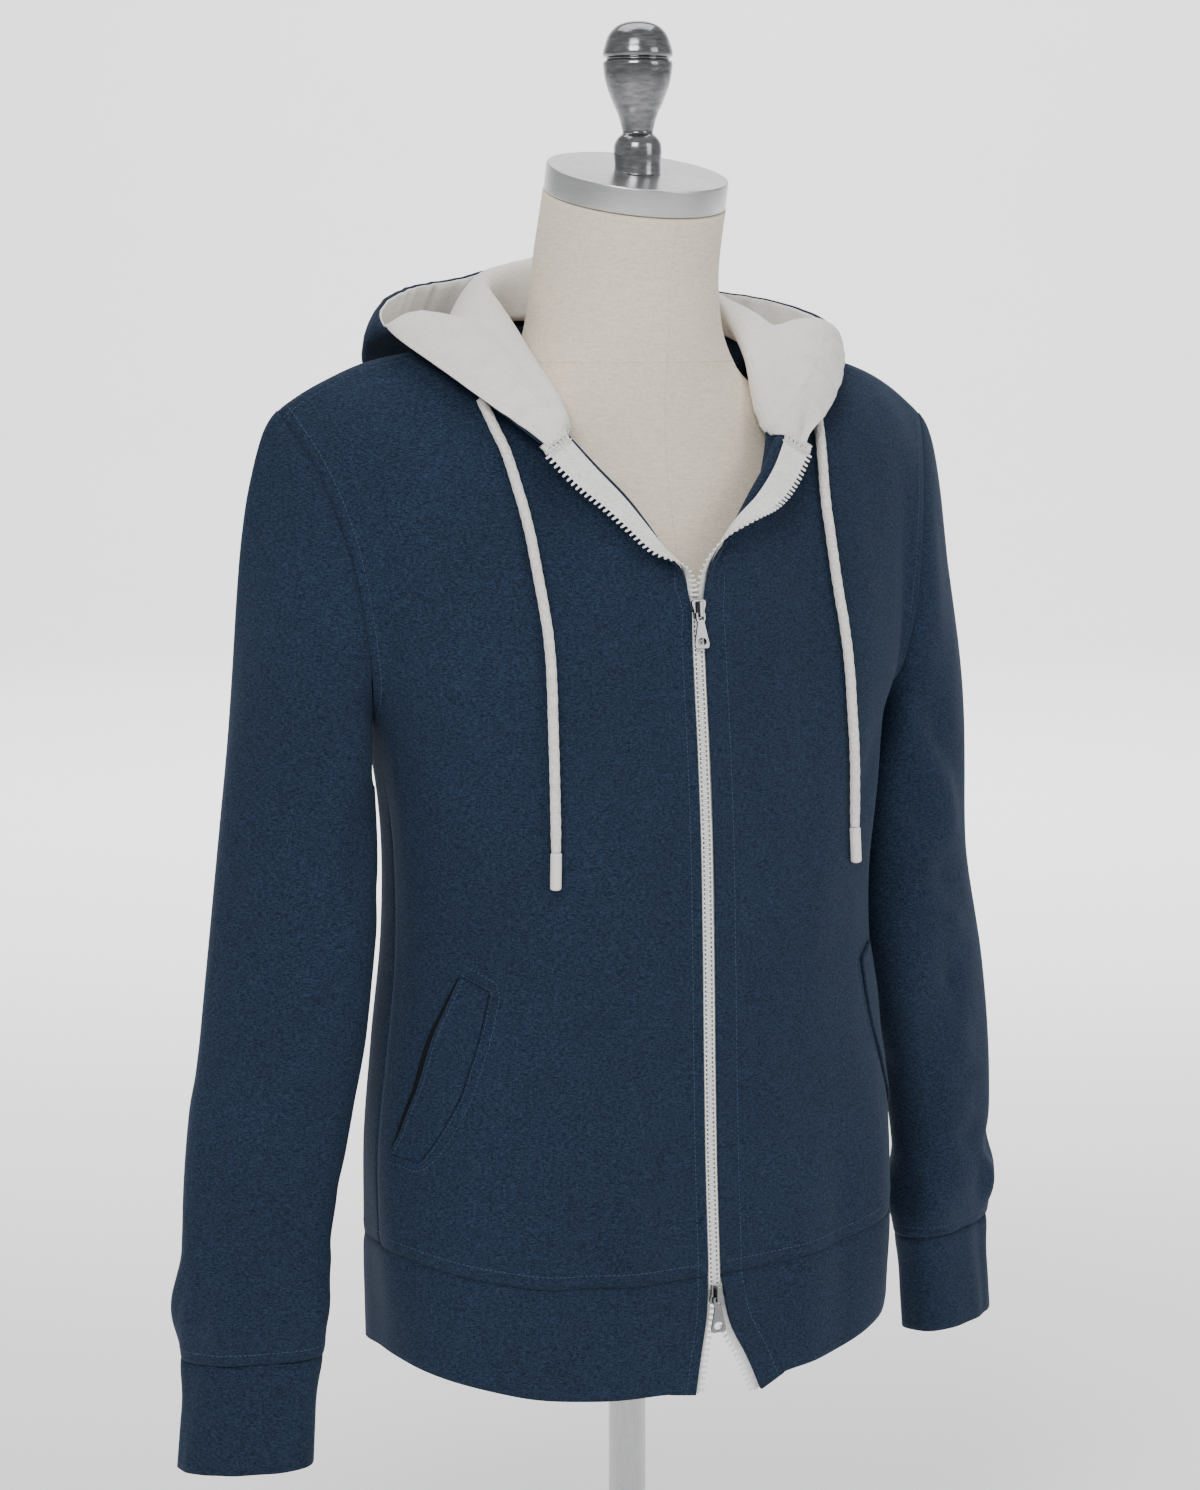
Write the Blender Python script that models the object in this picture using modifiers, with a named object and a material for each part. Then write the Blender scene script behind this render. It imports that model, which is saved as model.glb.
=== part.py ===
"""Zip-up hooded sweater standing on a limbless dress form.

Metres, +Z up. The sweater faces -Y and the wearer's left is +X. The origin is
the centre of the stand's base, on its underside.

Every piece of cloth is a sheet worked out from the size tables below: a grid of
points on its outer face, with a wall laid inside it. Neighbouring pieces share
the points of their seam and then stand back from it by half the seam gap.
"""
from math import pi, sin, cos, tan, atan, radians

import bmesh
import bpy
import numpy as np
from mathutils import Matrix
from mathutils.bvhtree import BVHTree

# ---------------------------------------------------------------- sizes (m)
WALL = 0.0018          # outer jersey
LINING = 0.0014        # hood lining
BAND_WALL = 0.0024     # hem band and cuffs, doubled cloth
TAPE = 0.0009          # zip tape
GAP = 0.0003           # between neighbouring pieces
TAPE_GAP = 0.0008      # between the cloth and the tape behind it
LINING_GAP = 0.0006    # between the hood's cloth and its lining
SEAM = 0.0003          # between two pieces at a seam

HEM_Z = 0.236          # lower edge of the hem band at the front
BAND_Z = 0.3085        # seam of the hem band at the front
CHEST_Z = 0.660        # level of the armpits
NECK_Z = 0.845         # top of the front edges
LEAN = (               # the shoulders sit higher on the right, the hem lower
    # z      drop per metre towards the left
    (0.180, -0.045), (0.240, -0.045), (0.310, -0.030), (0.450, 0.000),
    (0.600,  0.012), (0.680,  0.020), (1.100, 0.020),
)

EDGE_X = 0.005         # half the strip of zip that shows when it is closed
MARGIN = 0.022         # cloth along the front edge that can turn out
TURN_R = 0.0022        # radius of the turned-out edge
TAPE_OUT = 0.0035      # tape and teeth standing out past the cloth's edge

SLIDER_TOP_Z = 0.745   # top of the upper slider
SLIDER_LOW_Z = 0.291   # bottom of the lower slider
SLIDER_H = 0.0125
CHAIN_W = 0.0058
CHAIN_T = 0.0022

CORD_D = 0.0066
TIP_D = 0.0072
TIP_L = 0.024

POLE_R = 0.0125
BASE_R = 0.170
BASE_H = 0.022

# ------------------------------------------------- body of the sweater
# height at the centre front and at the side seam, half width, front and back
# depth, depth of the side seam
BODY = (
    # z_in    z_side  half_w  front    back    side_y
    (0.236,  0.2625, 0.1840, -0.1225, 0.1130, -0.004),
    (0.3085, 0.3290, 0.1865, -0.1200, 0.1150, -0.004),
    (0.360,  0.372,  0.1860, -0.1165, 0.1140, -0.004),
    (0.420,  0.424,  0.1810, -0.1140, 0.1100, -0.003),
    (0.470,  0.472,  0.1745, -0.1120, 0.1040, -0.002),
    (0.525,  0.525,  0.1705, -0.1105, 0.1000, -0.001),
    (0.580,  0.580,  0.1725, -0.1085, 0.1010,  0.000),
    (0.630,  0.630,  0.1780, -0.1050, 0.1060,  0.001),
    (0.660,  0.662,  0.1850, -0.1020, 0.1095,  0.002),
)
ROUND = 2.3            # exponent of the body's rings
SAG = 3.2              # exponent of the hem's rise towards the side seams

# inner line of the front's margin: distance from the centre, depth, width that
# turns out, and how far it turns on the wearer's right and left (degrees)
EDGE = (
    # z      x_right  x_left   y       flap    turn_r  turn_l
    (0.236,  0.0370,  0.0540, -0.1225, 0.0,    0.0,    0.0),
    (0.262,  0.0325,  0.0430, -0.1213, 0.0,    0.0,    0.0),
    (0.284,  0.0285,  0.0320, -0.1205, 0.0,    0.0,    0.0),
    (0.300,  0.0270,  0.0270, -0.1202, 0.0,    0.0,    0.0),
    (0.360,  0.0270,  0.0270, -0.1160, 0.0,    0.0,    0.0),
    (0.420,  0.0270,  0.0270, -0.1135, 0.0,    0.0,    0.0),
    (0.470,  0.0270,  0.0270, -0.1115, 0.0,    0.0,    0.0),
    (0.525,  0.0270,  0.0270, -0.1100, 0.0,    0.0,    0.0),
    (0.580,  0.0270,  0.0270, -0.1078, 0.0,    0.0,    0.0),
    (0.630,  0.0270,  0.0270, -0.1045, 0.0,    0.0,    0.0),
    (0.660,  0.0270,  0.0270, -0.1012, 0.0,    0.0,    0.0),
    (0.700,  0.0270,  0.0270, -0.0965, 0.0,    0.0,    0.0),
    (0.746,  0.0270,  0.0270, -0.0915, 0.0,    0.0,    0.0),
    (0.757,  0.0290,  0.0290, -0.0898, 0.0055, 85.0,   35.0),
    (0.772,  0.0345,  0.0345, -0.0868, 0.0090, 150.0,  60.0),
    (0.789,  0.0425,  0.0425, -0.0835, 0.0115, 165.0,  105.0),
    (0.805,  0.0510,  0.0510, -0.0790, 0.0140, 170.0,  155.0),
    (0.819,  0.0600,  0.0600, -0.0740, 0.0165, 170.0,  168.0),
    (0.832,  0.0700,  0.0700, -0.0680, 0.0180, 170.0,  170.0),
    (0.845,  0.0785,  0.0785, -0.0610, 0.0190, 170.0,  170.0),
)

# how far the cloth runs back, per unit towards the side, beside the margin
EDGE_AHEAD = ((0.236, 0.05), (0.660, 0.09), (0.745, 0.12), (0.780, 0.20),
              (0.810, 0.27), (0.845, 0.30))

# armhole, from the armpit up to the shoulder's tip
ARMHOLE = (
    # z      x_front  y_front  x_back   y_back
    (0.662,  0.1850,  0.002,   0.1850,  0.002),
    (0.668,  0.1900, -0.014,   0.1900,  0.018),
    (0.700,  0.1990, -0.030,   0.1975,  0.042),
    (0.732,  0.2050, -0.035,   0.2015,  0.055),
    (0.766,  0.2110, -0.032,   0.2055,  0.060),
    (0.800,  0.2190, -0.021,   0.2130,  0.057),
    (0.832,  0.2290, -0.004,   0.2240,  0.047),
    (0.862,  0.2410,  0.023,   0.2410,  0.023),
)

YOKE_FRONT = (0.0, -0.007, 0.008)      # how far the yokes round outwards
YOKE_BACK = (0.0, 0.006, 0.006)

# neck seam, from the front margin round to the centre back, then the shoulder
# seam from the neck out to the tip
NECKLINE = (
    # x      y       z
    (0.0785, -0.061, 0.845),
    (0.0835, -0.043, 0.861),
    (0.0920, -0.019, 0.883),
    (0.0985,  0.005, 0.904),
    (0.0930,  0.034, 0.912),
    (0.0730,  0.059, 0.916),
    (0.0400,  0.075, 0.917),
    (0.0000,  0.080, 0.917),
)
SHOULDER = (
    # x      y       z
    (0.0985,  0.005, 0.904),
    (0.1400,  0.008, 0.901),
    (0.1780,  0.013, 0.893),
    (0.2140,  0.018, 0.879),
    (0.2410,  0.023, 0.862),
)

# sleeve rings below the armpit: height, centre, half sizes across and through,
# turn of the flattened ring about the vertical (degrees)
SLEEVE = (
    # z      x       y       major   minor   turn
    (0.615,  0.2310,  0.0140, 0.0500, 0.0310, -28.0),
    (0.540,  0.2345,  0.0150, 0.0535, 0.0315, -28.0),
    (0.470,  0.2430,  0.0145, 0.0540, 0.0315, -28.0),
    (0.400,  0.2540,  0.0160, 0.0505, 0.0295, -28.0),
    (0.340,  0.2615,  0.0180, 0.0483, 0.0275, -28.0),
    (0.300,  0.2640,  0.0195, 0.0490, 0.0275, -28.0),
    (0.270,  0.2650,  0.0207, 0.0500, 0.0265, -28.0),
)
CUFF = (
    # drop   half_major  half_minor
    (0.000,  0.0470,     0.0250),
    (0.020,  0.0452,     0.0245),
    (0.071,  0.0448,     0.0250),
)
CUFF_SHIFT = (0.0050, 0.0010)          # the cuff's foot against its seam
SLEEVE_DROP = {-1: 0.004, 1: -0.001}

# hood lying open on the shoulders, one row for each section from the front
# corner to the centre back: the neck seam is the NECKLINE above; crest round
# the neck, the sheet beside it, its valley, the ridge (behind the shoulders:
# the two low points of the bag), the outside, and the rim of the opening
HOOD_LIFT = 0.0012     # from the neck seam to the hood's own edge
HOOD = (
    # crest                   beside                    valley                    ridge                     outside                   rim
    (0.0740, -0.0440, 0.8660, 0.0790, -0.0480, 0.8685,  0.0860, -0.0510, 0.8665,  0.0960, -0.0530, 0.8675,  0.1070, -0.0540, 0.8640,  0.1120, -0.0530, 0.8560),
    (0.0815, -0.0190, 0.8960, 0.0900, -0.0200, 0.9010,  0.1020, -0.0220, 0.9000,  0.1180, -0.0250, 0.9030,  0.1350, -0.0280, 0.8960,  0.1420, -0.0280, 0.8840),
    (0.0827,  0.0060, 0.9185, 0.0960,  0.0070, 0.9250,  0.1130,  0.0060, 0.9160,  0.1340,  0.0060, 0.9220,  0.1570,  0.0050, 0.9200,  0.1652,  0.0060, 0.9080),
    (0.0820,  0.0330, 0.9410, 0.0960,  0.0400, 0.9340,  0.1160,  0.0520, 0.9060,  0.1440,  0.0540, 0.9030,  0.1800,  0.0280, 0.9040,  0.1670,  0.0310, 0.9250),
    (0.0660,  0.0600, 0.9620, 0.0810,  0.0770, 0.9320,  0.0960,  0.1080, 0.8400,  0.1220,  0.1180, 0.8420,  0.1430,  0.0880, 0.8850,  0.1330,  0.0660, 0.9395),
    (0.0360,  0.0770, 0.9740, 0.0430,  0.0960, 0.9340,  0.0540,  0.1270, 0.7800,  0.0720,  0.1500, 0.7760,  0.0880,  0.1450, 0.8550,  0.0770,  0.1080, 0.9475),
    (0.0000,  0.0830, 0.9770, 0.0000,  0.1020, 0.9340,  0.0000,  0.1270, 0.7600,  0.0000,  0.1560, 0.7540,  0.0000,  0.1660, 0.8450,  0.0000,  0.1250, 0.9640),
)

# pocket welt on the front: five lines across it, from the slit to the seam
POCKET = (
    # slit z  x       seam z  x
    (0.5058, 0.1527, 0.4973, 0.1389),
    (0.4687, 0.1638, 0.4640, 0.1460),
    (0.4426, 0.1703, 0.4310, 0.1558),
    (0.4140, 0.1771, 0.4020, 0.1670),
    (0.3833, 0.1830, 0.3814, 0.1757),
)
WELT = 0.0016

# drawcord: height, distance from the centre on the right and on the left
CORD = (
    # z      x_right  x_left
    (0.8700, 0.1219,  0.1240),
    (0.8590, 0.1192,  0.1217),
    (0.8494, 0.1169,  0.1198),
    (0.8388, 0.1141,  0.1178),
    (0.8201, 0.1114,  0.1148),
    (0.8015, 0.1090,  0.1131),
    (0.7604, 0.1054,  0.1130),
    (0.7193, 0.1023,  0.1153),
    (0.6775, 0.1018,  0.1172),
    (0.6358, 0.1014,  0.1201),
    (0.5905, 0.1012,  0.1214),
    (0.5650, 0.1015,  0.1238),
)
CORD_CLEAR = 0.0007    # between the cord and the cloth it hangs on

# zip slider and its pull tab
PLATE_T = 0.0016       # slider's front plate
REAR_T = 0.0011        # slider's back plate
SLIDER_WIDE = 0.0105
SLIDER_NARROW = 0.0080
ARCH_W = 0.0030        # raised arch that holds the pull tab
ARCH_GAP = 0.0020
ARCH_T = 0.0012
LEG_H = 0.0016
PULL_T = 0.0012
PULL_L = 0.0225        # from the hinge to the foot
PULL_TURN = 120.0      # how far the tab can swing up, degrees

# dress form: height, half width, front and back depth, exponent
FORM = (
    # z      half_w  front    back    round
    (0.285,  0.1500, -0.0960, 0.0900, 2.3),
    (0.330,  0.1580, -0.0990, 0.0960, 2.3),
    (0.400,  0.1580, -0.0985, 0.0960, 2.3),
    (0.470,  0.1500, -0.0960, 0.0890, 2.3),
    (0.530,  0.1450, -0.0950, 0.0840, 2.3),
    (0.600,  0.1520, -0.0930, 0.0870, 2.3),
    (0.660,  0.1650, -0.0880, 0.0940, 2.3),
    (0.720,  0.1790, -0.0790, 0.0940, 2.3),
    (0.765,  0.1800, -0.0690, 0.0850, 2.0),
    (0.795,  0.1760, -0.0610, 0.0780, 1.85),
    (0.820,  0.1660, -0.0550, 0.0710, 1.75),
    (0.840,  0.1480, -0.0515, 0.0690, 1.7),
    (0.858,  0.1240, -0.0505, 0.0680, 1.75),
    (0.874,  0.1000, -0.0510, 0.0680, 1.8),
    (0.890,  0.0800, -0.0525, 0.0675, 1.9),
    (0.920,  0.0650, -0.0555, 0.0690, 2.0),
    (0.950,  0.0612, -0.0570, 0.0660, 2.0),
    (0.985,  0.0598, -0.0640, 0.0560, 2.0),
    (1.000,  0.0595, -0.0680, 0.0510, 2.0),
)
CAP_TILT = 14.0        # the neck's top slopes down to the front, degrees
CAP_R = 0.0595
CAP_H = 0.0175
NECK_TOP = 1.000       # middle of the neck's top
NECK_Y = -0.0085

# turned knob on the neck cap: height above its foot, radius
KNOB = (
    (0.0955, 0.0000), (0.0950, 0.0070), (0.0922, 0.0140), (0.0875, 0.0185),
    (0.0810, 0.0212), (0.0730, 0.0222), (0.0712, 0.0205), (0.0694, 0.0222),
    (0.0640, 0.0222), (0.0550, 0.0205), (0.0440, 0.0165), (0.0340, 0.0122),
    (0.0275, 0.0105), (0.0240, 0.0100), (0.0215, 0.0125), (0.0175, 0.0150),
    (0.0110, 0.0155), (0.0050, 0.0150), (-0.0080, 0.0150),
)
# resolution of the solids
N_MARGIN = 6
N_NECK_F = 3
N_NECK_B = 4
N_SHOULDER = 6
N_LOW = 5
YOKE_ROWS = (0.0, 0.16, 0.32, 0.45, 0.53, 0.61, 0.695, 0.79, 0.89, 1.0)
N_HIGH = len(YOKE_ROWS) - 1
N_HEAD = 7             # rings of the sleeve's head, then below it
N_ARM = 6
N_HOOD = 11            # across the hood, then round it
N_HOOD_F = 6
N_HOOD_B = 7


# ------------------------------------------------------------- table curves
def slopes(x, y):
    """Slopes of a smooth curve that never runs past its table's values."""
    h = np.diff(x)
    s = np.diff(y, axis=0) / h[:, None]
    d = np.zeros_like(y)
    for k in range(1, len(x) - 1):
        w1, w2 = 2 * h[k] + h[k - 1], h[k] + 2 * h[k - 1]
        a, b = s[k - 1], s[k]
        ok = a * b > 0
        safe_a, safe_b = np.where(ok, a, 1.0), np.where(ok, b, 1.0)
        d[k] = np.where(ok, (w1 + w2) / (w1 / safe_a + w2 / safe_b), 0.0)
    d[0], d[-1] = s[0], s[-1]
    return d


def free_slopes(x, y):
    """Slopes of a curve through points in space."""
    h = np.diff(x)
    s = np.diff(y, axis=0) / h[:, None]
    d = np.zeros_like(y)
    d[0], d[-1] = s[0], s[-1]
    for k in range(1, len(x) - 1):
        d[k] = (s[k - 1] * h[k] + s[k] * h[k - 1]) / (h[k] + h[k - 1])
    return d


def read(x, y, t, free=False):
    """Values of the table y(x) at t."""
    x, y = np.asarray(x, float), np.asarray(y, float)
    flat = y.ndim == 1
    if flat:
        y = y[:, None]
    d = (free_slopes if free else slopes)(x, y)
    t = np.clip(np.atleast_1d(np.asarray(t, float)), x[0], x[-1])
    k = np.clip(np.searchsorted(x, t, side="right") - 1, 0, len(x) - 2)
    h = (x[k + 1] - x[k])[:, None]
    u = ((t - x[k]) / (x[k + 1] - x[k]))[:, None]
    out = ((2 * u**3 - 3 * u**2 + 1) * y[k] + (u**3 - 2 * u**2 + u) * h * d[k]
           + (-2 * u**3 + 3 * u**2) * y[k + 1] + (u**3 - u**2) * h * d[k + 1])
    return out[:, 0] if flat else out


def table(rows, t):
    """Row of a table read at its first column."""
    rows = np.array(rows, float)
    return read(rows[:, 0], rows[:, 1:], t)


def along(points, t):
    """Points at fractions t of a polyline's length."""
    points = np.asarray(points, float)
    s = np.concatenate([[0.0], np.cumsum(np.linalg.norm(np.diff(points, axis=0), axis=1))])
    t = np.atleast_1d(t) * s[-1]
    return np.stack([np.interp(t, s, points[:, k]) for k in range(3)], axis=1)


def smooth_path(points, t):
    """Points at fractions t of a smooth curve through a few points."""
    points = np.asarray(points, float)
    s = np.concatenate([[0.0], np.cumsum(np.linalg.norm(np.diff(points, axis=0), axis=1))])
    dense = read(s, points, np.linspace(0, s[-1], 24 * len(points)), free=True)
    return along(dense, t)


def unit(v):
    v = np.asarray(v, float)
    return v / np.maximum(np.linalg.norm(v, axis=-1, keepdims=True), 1e-12)


def lean(points):
    """The slight lean of the whole sweater on the form."""
    points = np.array(points, float)
    t = np.array(LEAN)
    points[..., 2] -= np.interp(points[..., 2], t[:, 0], t[:, 1]) * points[..., 0]
    return points


# -------------------------------------------------------------- front edge
def edge(side, z):
    """The front's margin at height z: root point, then flap and turn."""
    x_r, x_l, y, flap, turn_r, turn_l = table(EDGE, z)[0]
    x = x_r if side < 0 else x_l
    return np.array([x, y, z]), flap, radians(turn_r if side < 0 else turn_l)


def edge_ahead(z):
    """Direction in which the cloth runs from the margin towards the side."""
    t = np.array(EDGE_AHEAD)
    return unit(np.array([1.0, np.interp(z, t[:, 0], t[:, 1]), 0.0]))


def edge_frame(side, z, ahead):
    """Directions of the margin: out towards the side, and off the cloth."""
    lo, hi = max(HEM_Z, z - 0.004), min(NECK_Z, z + 0.004)
    run = unit(edge(side, hi)[0] - edge(side, lo)[0])
    out = unit(ahead - np.dot(ahead, run) * run)
    return out, unit(np.cross(out, run))


def margin_point(side, z, s, ahead, lift=0.0):
    """Point of the margin at distance s from its root; lift is off the face."""
    root, flap, turn = edge(side, z)
    out, off = edge_frame(side, z, ahead)
    bend = TURN_R * turn
    start = max(MARGIN - flap - 0.5 * bend, 0.0) if turn > 0.01 else 1e9
    if s <= start:
        a, e, n = 0.0, -s, 0.0
    elif s <= start + bend:
        a = (s - start) / TURN_R
        e, n = -start - TURN_R * sin(a), TURN_R * (1 - cos(a))
    else:
        a, d = turn, s - start - bend
        e = -start - TURN_R * sin(a) - d * cos(a)
        n = TURN_R * (1 - cos(a)) + d * sin(a)
    face = off * cos(a) + out * sin(a)
    return root + out * e + off * n + face * lift


def margin(side, z, distances, ahead, lift=0.0):
    return np.array([margin_point(side, z, s, ahead, lift) for s in distances])


# ---------------------------------------------------------------- body rows
def ring_arc(z, front, start=0.0):
    """Quarter of a body ring from the centre (or x = start) to the side."""
    z_side, half, y_front, y_back, y_side = table(BODY, z)[0]
    y0 = y_front if front else y_back
    t = np.linspace(0, pi / 2, 241)
    x = half * np.sin(t) ** (2 / ROUND)
    y = y_side + (y0 - y_side) * np.cos(t) ** (2 / ROUND)
    pts = np.stack([x, y, z + (z_side - z) * (x / half) ** SAG], axis=1)
    if start > 0:
        keep = x > start
        first = [start, np.interp(start, x, y), np.interp(start, x, pts[:, 2])]
        pts = np.vstack([[first], pts[keep]])
    return pts


def armhole(front, t):
    a = np.array(ARMHOLE)
    cols = [1, 2, 0] if front else [3, 4, 0]
    return smooth_path(a[:, cols], t)


def neck_path(t):
    """Neck seam from the front corner (0) over the shoulder seam (N_NECK_F)
    to the centre back (N_NECK_F + N_NECK_B), counted in the table's rows."""
    n = np.array(NECKLINE)
    return read(np.arange(len(n)), n, t, free=True)


def shoulder_path(t):
    return smooth_path(SHOULDER, t)


def top_edge(front, n_neck, n_shoulder):
    """Upper edge of a front or of half the back: neck seam, then shoulder."""
    if front:
        neck = neck_path(np.linspace(0, N_NECK_F, n_neck + 1))
    else:
        neck = neck_path(np.linspace(N_NECK_F + N_NECK_B, N_NECK_F, n_neck + 1))
    return np.vstack([neck, shoulder_path(np.linspace(0, 1, n_shoulder + 1))[1:]])


def panel(front, side, n_neck, n_shoulder, n_low, n_high, x_in):
    """Grid [row][column] of a front's body or of half the back, x positive."""
    n = n_neck + n_shoulder
    u = np.linspace(0, 1, n + 1)
    rows, tangents = [], None
    for z in np.linspace(BAND_Z, CHEST_Z, n_low + 1):
        start = edge(side, z)[0][0] if front else x_in
        arc = along(ring_arc(z, front, start), u)
        if front:
            shift = edge(side, z)[0] - arc[0]
            arc = arc + shift * ((1 - u) ** 3)[:, None]
        rows.append(arc)
    bottom = rows[-1]
    step = (rows[-1] - rows[-2]) / np.linalg.norm(rows[-1] - rows[-2], axis=1)[:, None]
    top = top_edge(front, n_neck, n_shoulder)
    v = yoke_rows(n_high)
    if front:
        inner = np.array([edge(side, z)[0] for z in CHEST_Z + (NECK_Z - CHEST_Z) * v])
    else:
        back = np.array(BODY)[-1]
        column = [(0, back[4], CHEST_Z), (0, 0.1110, 0.720), (0, 0.1090, 0.790),
                  (0, 0.0990, 0.855), tuple(top[0])]
        inner = smooth_path(column, v)
    outer = armhole(front, v)
    height = np.linalg.norm(top - bottom, axis=1)
    up_in = (inner[1] - inner[0]) / v[1]
    up_out = (outer[1] - outer[0]) / v[1]
    for k in range(1, n_high + 1):
        w = v[k]
        ruled = (1 - w) * bottom + w * top
        cross = (1 - u)[:, None] * inner[k] + u[:, None] * outer[k]
        both = ((1 - u)[:, None] * ((1 - w) * inner[0] + w * inner[-1])
                + u[:, None] * ((1 - w) * outer[0] + w * outer[-1]))
        flat = ruled + cross - both
        # keep the chest's own slope as the sheet leaves the lower rings
        start = (top - bottom) + (1 - u)[:, None] * (up_in - (inner[-1] - inner[0])) \
            + u[:, None] * (up_out - (outer[-1] - outer[0]))
        blend = w * (1 - w) ** 2
        keep = np.sin(pi * u)[:, None] ** 0.5
        # the yoke's own roundness, over the collar bones and shoulder blades
        round_up = w ** 3 * (1 - w) * 9.48 * np.sin(pi * u ** 0.8)[:, None]
        full = np.array(YOKE_FRONT if front else YOKE_BACK)
        rows.append(flat + (step * height[:, None] - start) * blend * keep + full * round_up)
    return np.array(rows)


def yoke_rows(n_high):
    """Fractions of the way up at which the yoke has its rows, closer together
    where the front edge turns out."""
    rows = np.array(YOKE_ROWS)
    return np.interp(np.linspace(0, 1, n_high + 1), np.linspace(0, 1, len(rows)), rows)


def row_heights(n_low, n_high):
    low = np.linspace(BAND_Z, CHEST_Z, n_low + 1)
    return np.concatenate([low, CHEST_Z + (NECK_Z - CHEST_Z) * yoke_rows(n_high)[1:]])


def front_grid(side, n_margin=N_MARGIN, n_neck=N_NECK_F, n_shoulder=N_SHOULDER,
               n_low=N_LOW, n_high=N_HIGH):
    """Whole front: columns run from the zip edge through the margin's root to
    the side seam and armhole. x positive; mirrored later."""
    body = panel(True, side, n_neck, n_shoulder, n_low, n_high, 0.0)
    heights = row_heights(n_low, n_high)
    rows = []
    for z, row in zip(heights, body):
        rows.append(np.vstack([margin_row(side, z, row, n_margin), row[1:]]))
    return np.array(rows)


def margin_stops(side, z, n_margin):
    """Distances along the margin at which it has points, edge first."""
    _, flap, turn = edge(side, z)
    bend = TURN_R * turn
    start = MARGIN - flap - 0.5 * bend
    even = np.linspace(MARGIN, 0, n_margin + 1)
    if turn < 0.01:
        return even
    flat = n_margin // 3
    bent = np.concatenate([np.linspace(MARGIN, start + bend, flat + 1),
                           start + bend * np.linspace(1, 0, n_margin - flat)[1:], [0.0]])
    w = min(1.0, turn / 0.9)
    return even * (1 - w) + bent * w


def tape_stops(side, z, n_margin):
    """Distances at which the tape has points: the cloth's own, as far as the
    flap is flat, and one out past the cloth's edge."""
    stops = margin_stops(side, z, n_margin)[:n_margin // 3 + 1]
    stops[-1] += 0.0004
    return np.concatenate([[MARGIN + TAPE_OUT], stops])


def margin_row(side, z, row, n_margin):
    return margin(side, z, margin_stops(side, z, n_margin), edge_ahead(z))


def band_grid(side, n_margin, n_side, n_rows):
    """Half of the hem band's front, from its zip edge to the side seam."""
    rows = []
    for z in np.linspace(HEM_Z, BAND_Z, n_rows + 1):
        start = edge(side, z)[0][0]
        arc = along(ring_arc(z, True, start), np.linspace(0, 1, n_side + 1))
        u = np.linspace(0, 1, n_side + 1)
        arc = arc + (edge(side, z)[0] - arc[0]) * ((1 - u) ** 3)[:, None]
        rows.append(np.vstack([margin_row(side, z, arc, n_margin), arc[1:]]))
    return np.array(rows)


# ------------------------------------------------------------------- sleeve
def sleeve_ring(z, x, y, major, minor, turn, count_angles):
    a = count_angles
    c, s = cos(radians(turn)), sin(radians(turn))
    e = major * np.sign(np.cos(a)) * np.abs(np.cos(a)) ** 0.9
    f = minor * np.sign(np.sin(a)) * np.abs(np.sin(a)) ** 0.9
    # e runs from the sleeve's outer fold (a = 0) to the underarm (a = pi)
    return np.stack([x + e * c - f * s, y - (e * s + f * c), np.full_like(a, z)], axis=1)


def sleeve_grid(side, hole, n_rows, n_drop):
    """Sleeve from the armhole down. hole: the armhole's points, starting at
    the shoulder's tip, down the front to the armpit and up the back."""
    n = len(hole)
    s = np.concatenate([[0.0], np.cumsum(np.linalg.norm(
        np.diff(np.vstack([hole, hole[:1]]), axis=0), axis=1))])
    pit = int(np.argmin(hole[:, 2]))
    a = np.zeros(n)
    a[:pit + 1] = pi * s[:pit + 1] / s[pit]
    a[pit:] = pi + pi * (s[pit:n] - s[pit]) / (s[n] - s[pit])
    drop = SLEEVE_DROP[side]
    rings = []
    for z, x, y, major, minor, turn in SLEEVE:
        share = (0.60 - z) / (0.60 - 0.27)
        rings.append(sleeve_ring(z - drop * share, x, y, major, minor, turn, a))
    rings = np.array(rings)
    # the sleeve's head: each line leaves the armhole outwards and turns down
    centre = hole.mean(axis=0)
    around = unit(hole - centre)
    up = np.clip(around[:, 2], -1, 1)
    fore = np.clip(-around[:, 1], -1, 1)
    crown = np.clip(up, 0, 1)
    lead = unit(np.stack([0.62 + 0.25 * crown, -0.20 * fore, -0.78 + 0.10 * crown], axis=1))
    first, second = rings[0], rings[1]
    length = np.linalg.norm(first - hole, axis=1)
    rise = unit(first - second)
    head = []
    for k in range(n_rows):
        t = k / n_rows
        h00, h10 = 2 * t**3 - 3 * t**2 + 1, t**3 - 2 * t**2 + t
        h01, h11 = -2 * t**3 + 3 * t**2, t**3 - t**2
        out = 0.60 - 0.25 * crown
        head.append(h00 * hole + h10 * (length * out)[:, None] * lead
                    + h01 * first - h11 * (length * 0.9)[:, None] * rise)
    lower = []
    z_keys = np.arange(len(rings), dtype=float)
    flat = rings.reshape(len(rings), -1)
    for t in np.linspace(0, len(rings) - 1, n_drop + 1):
        lower.append(read(z_keys, flat, t, free=True)[0].reshape(n, 3))
    return np.array(head + lower), a


def cuff_grid(side, a, n_rows):
    z, x, y, _, _, turn = SLEEVE[-1]
    z = z - SLEEVE_DROP[side]
    rows = []
    c = np.array(CUFF)
    for d in np.linspace(0, c[-1, 0], n_rows + 1):
        major, minor = read(c[:, 0], c[:, 1:], d)[0]
        share = d / c[-1, 0]
        rows.append(sleeve_ring(z - d, x + CUFF_SHIFT[0] * share, y + CUFF_SHIFT[1] * share,
                                major, minor, turn, a))
    return np.array(rows)


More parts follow.
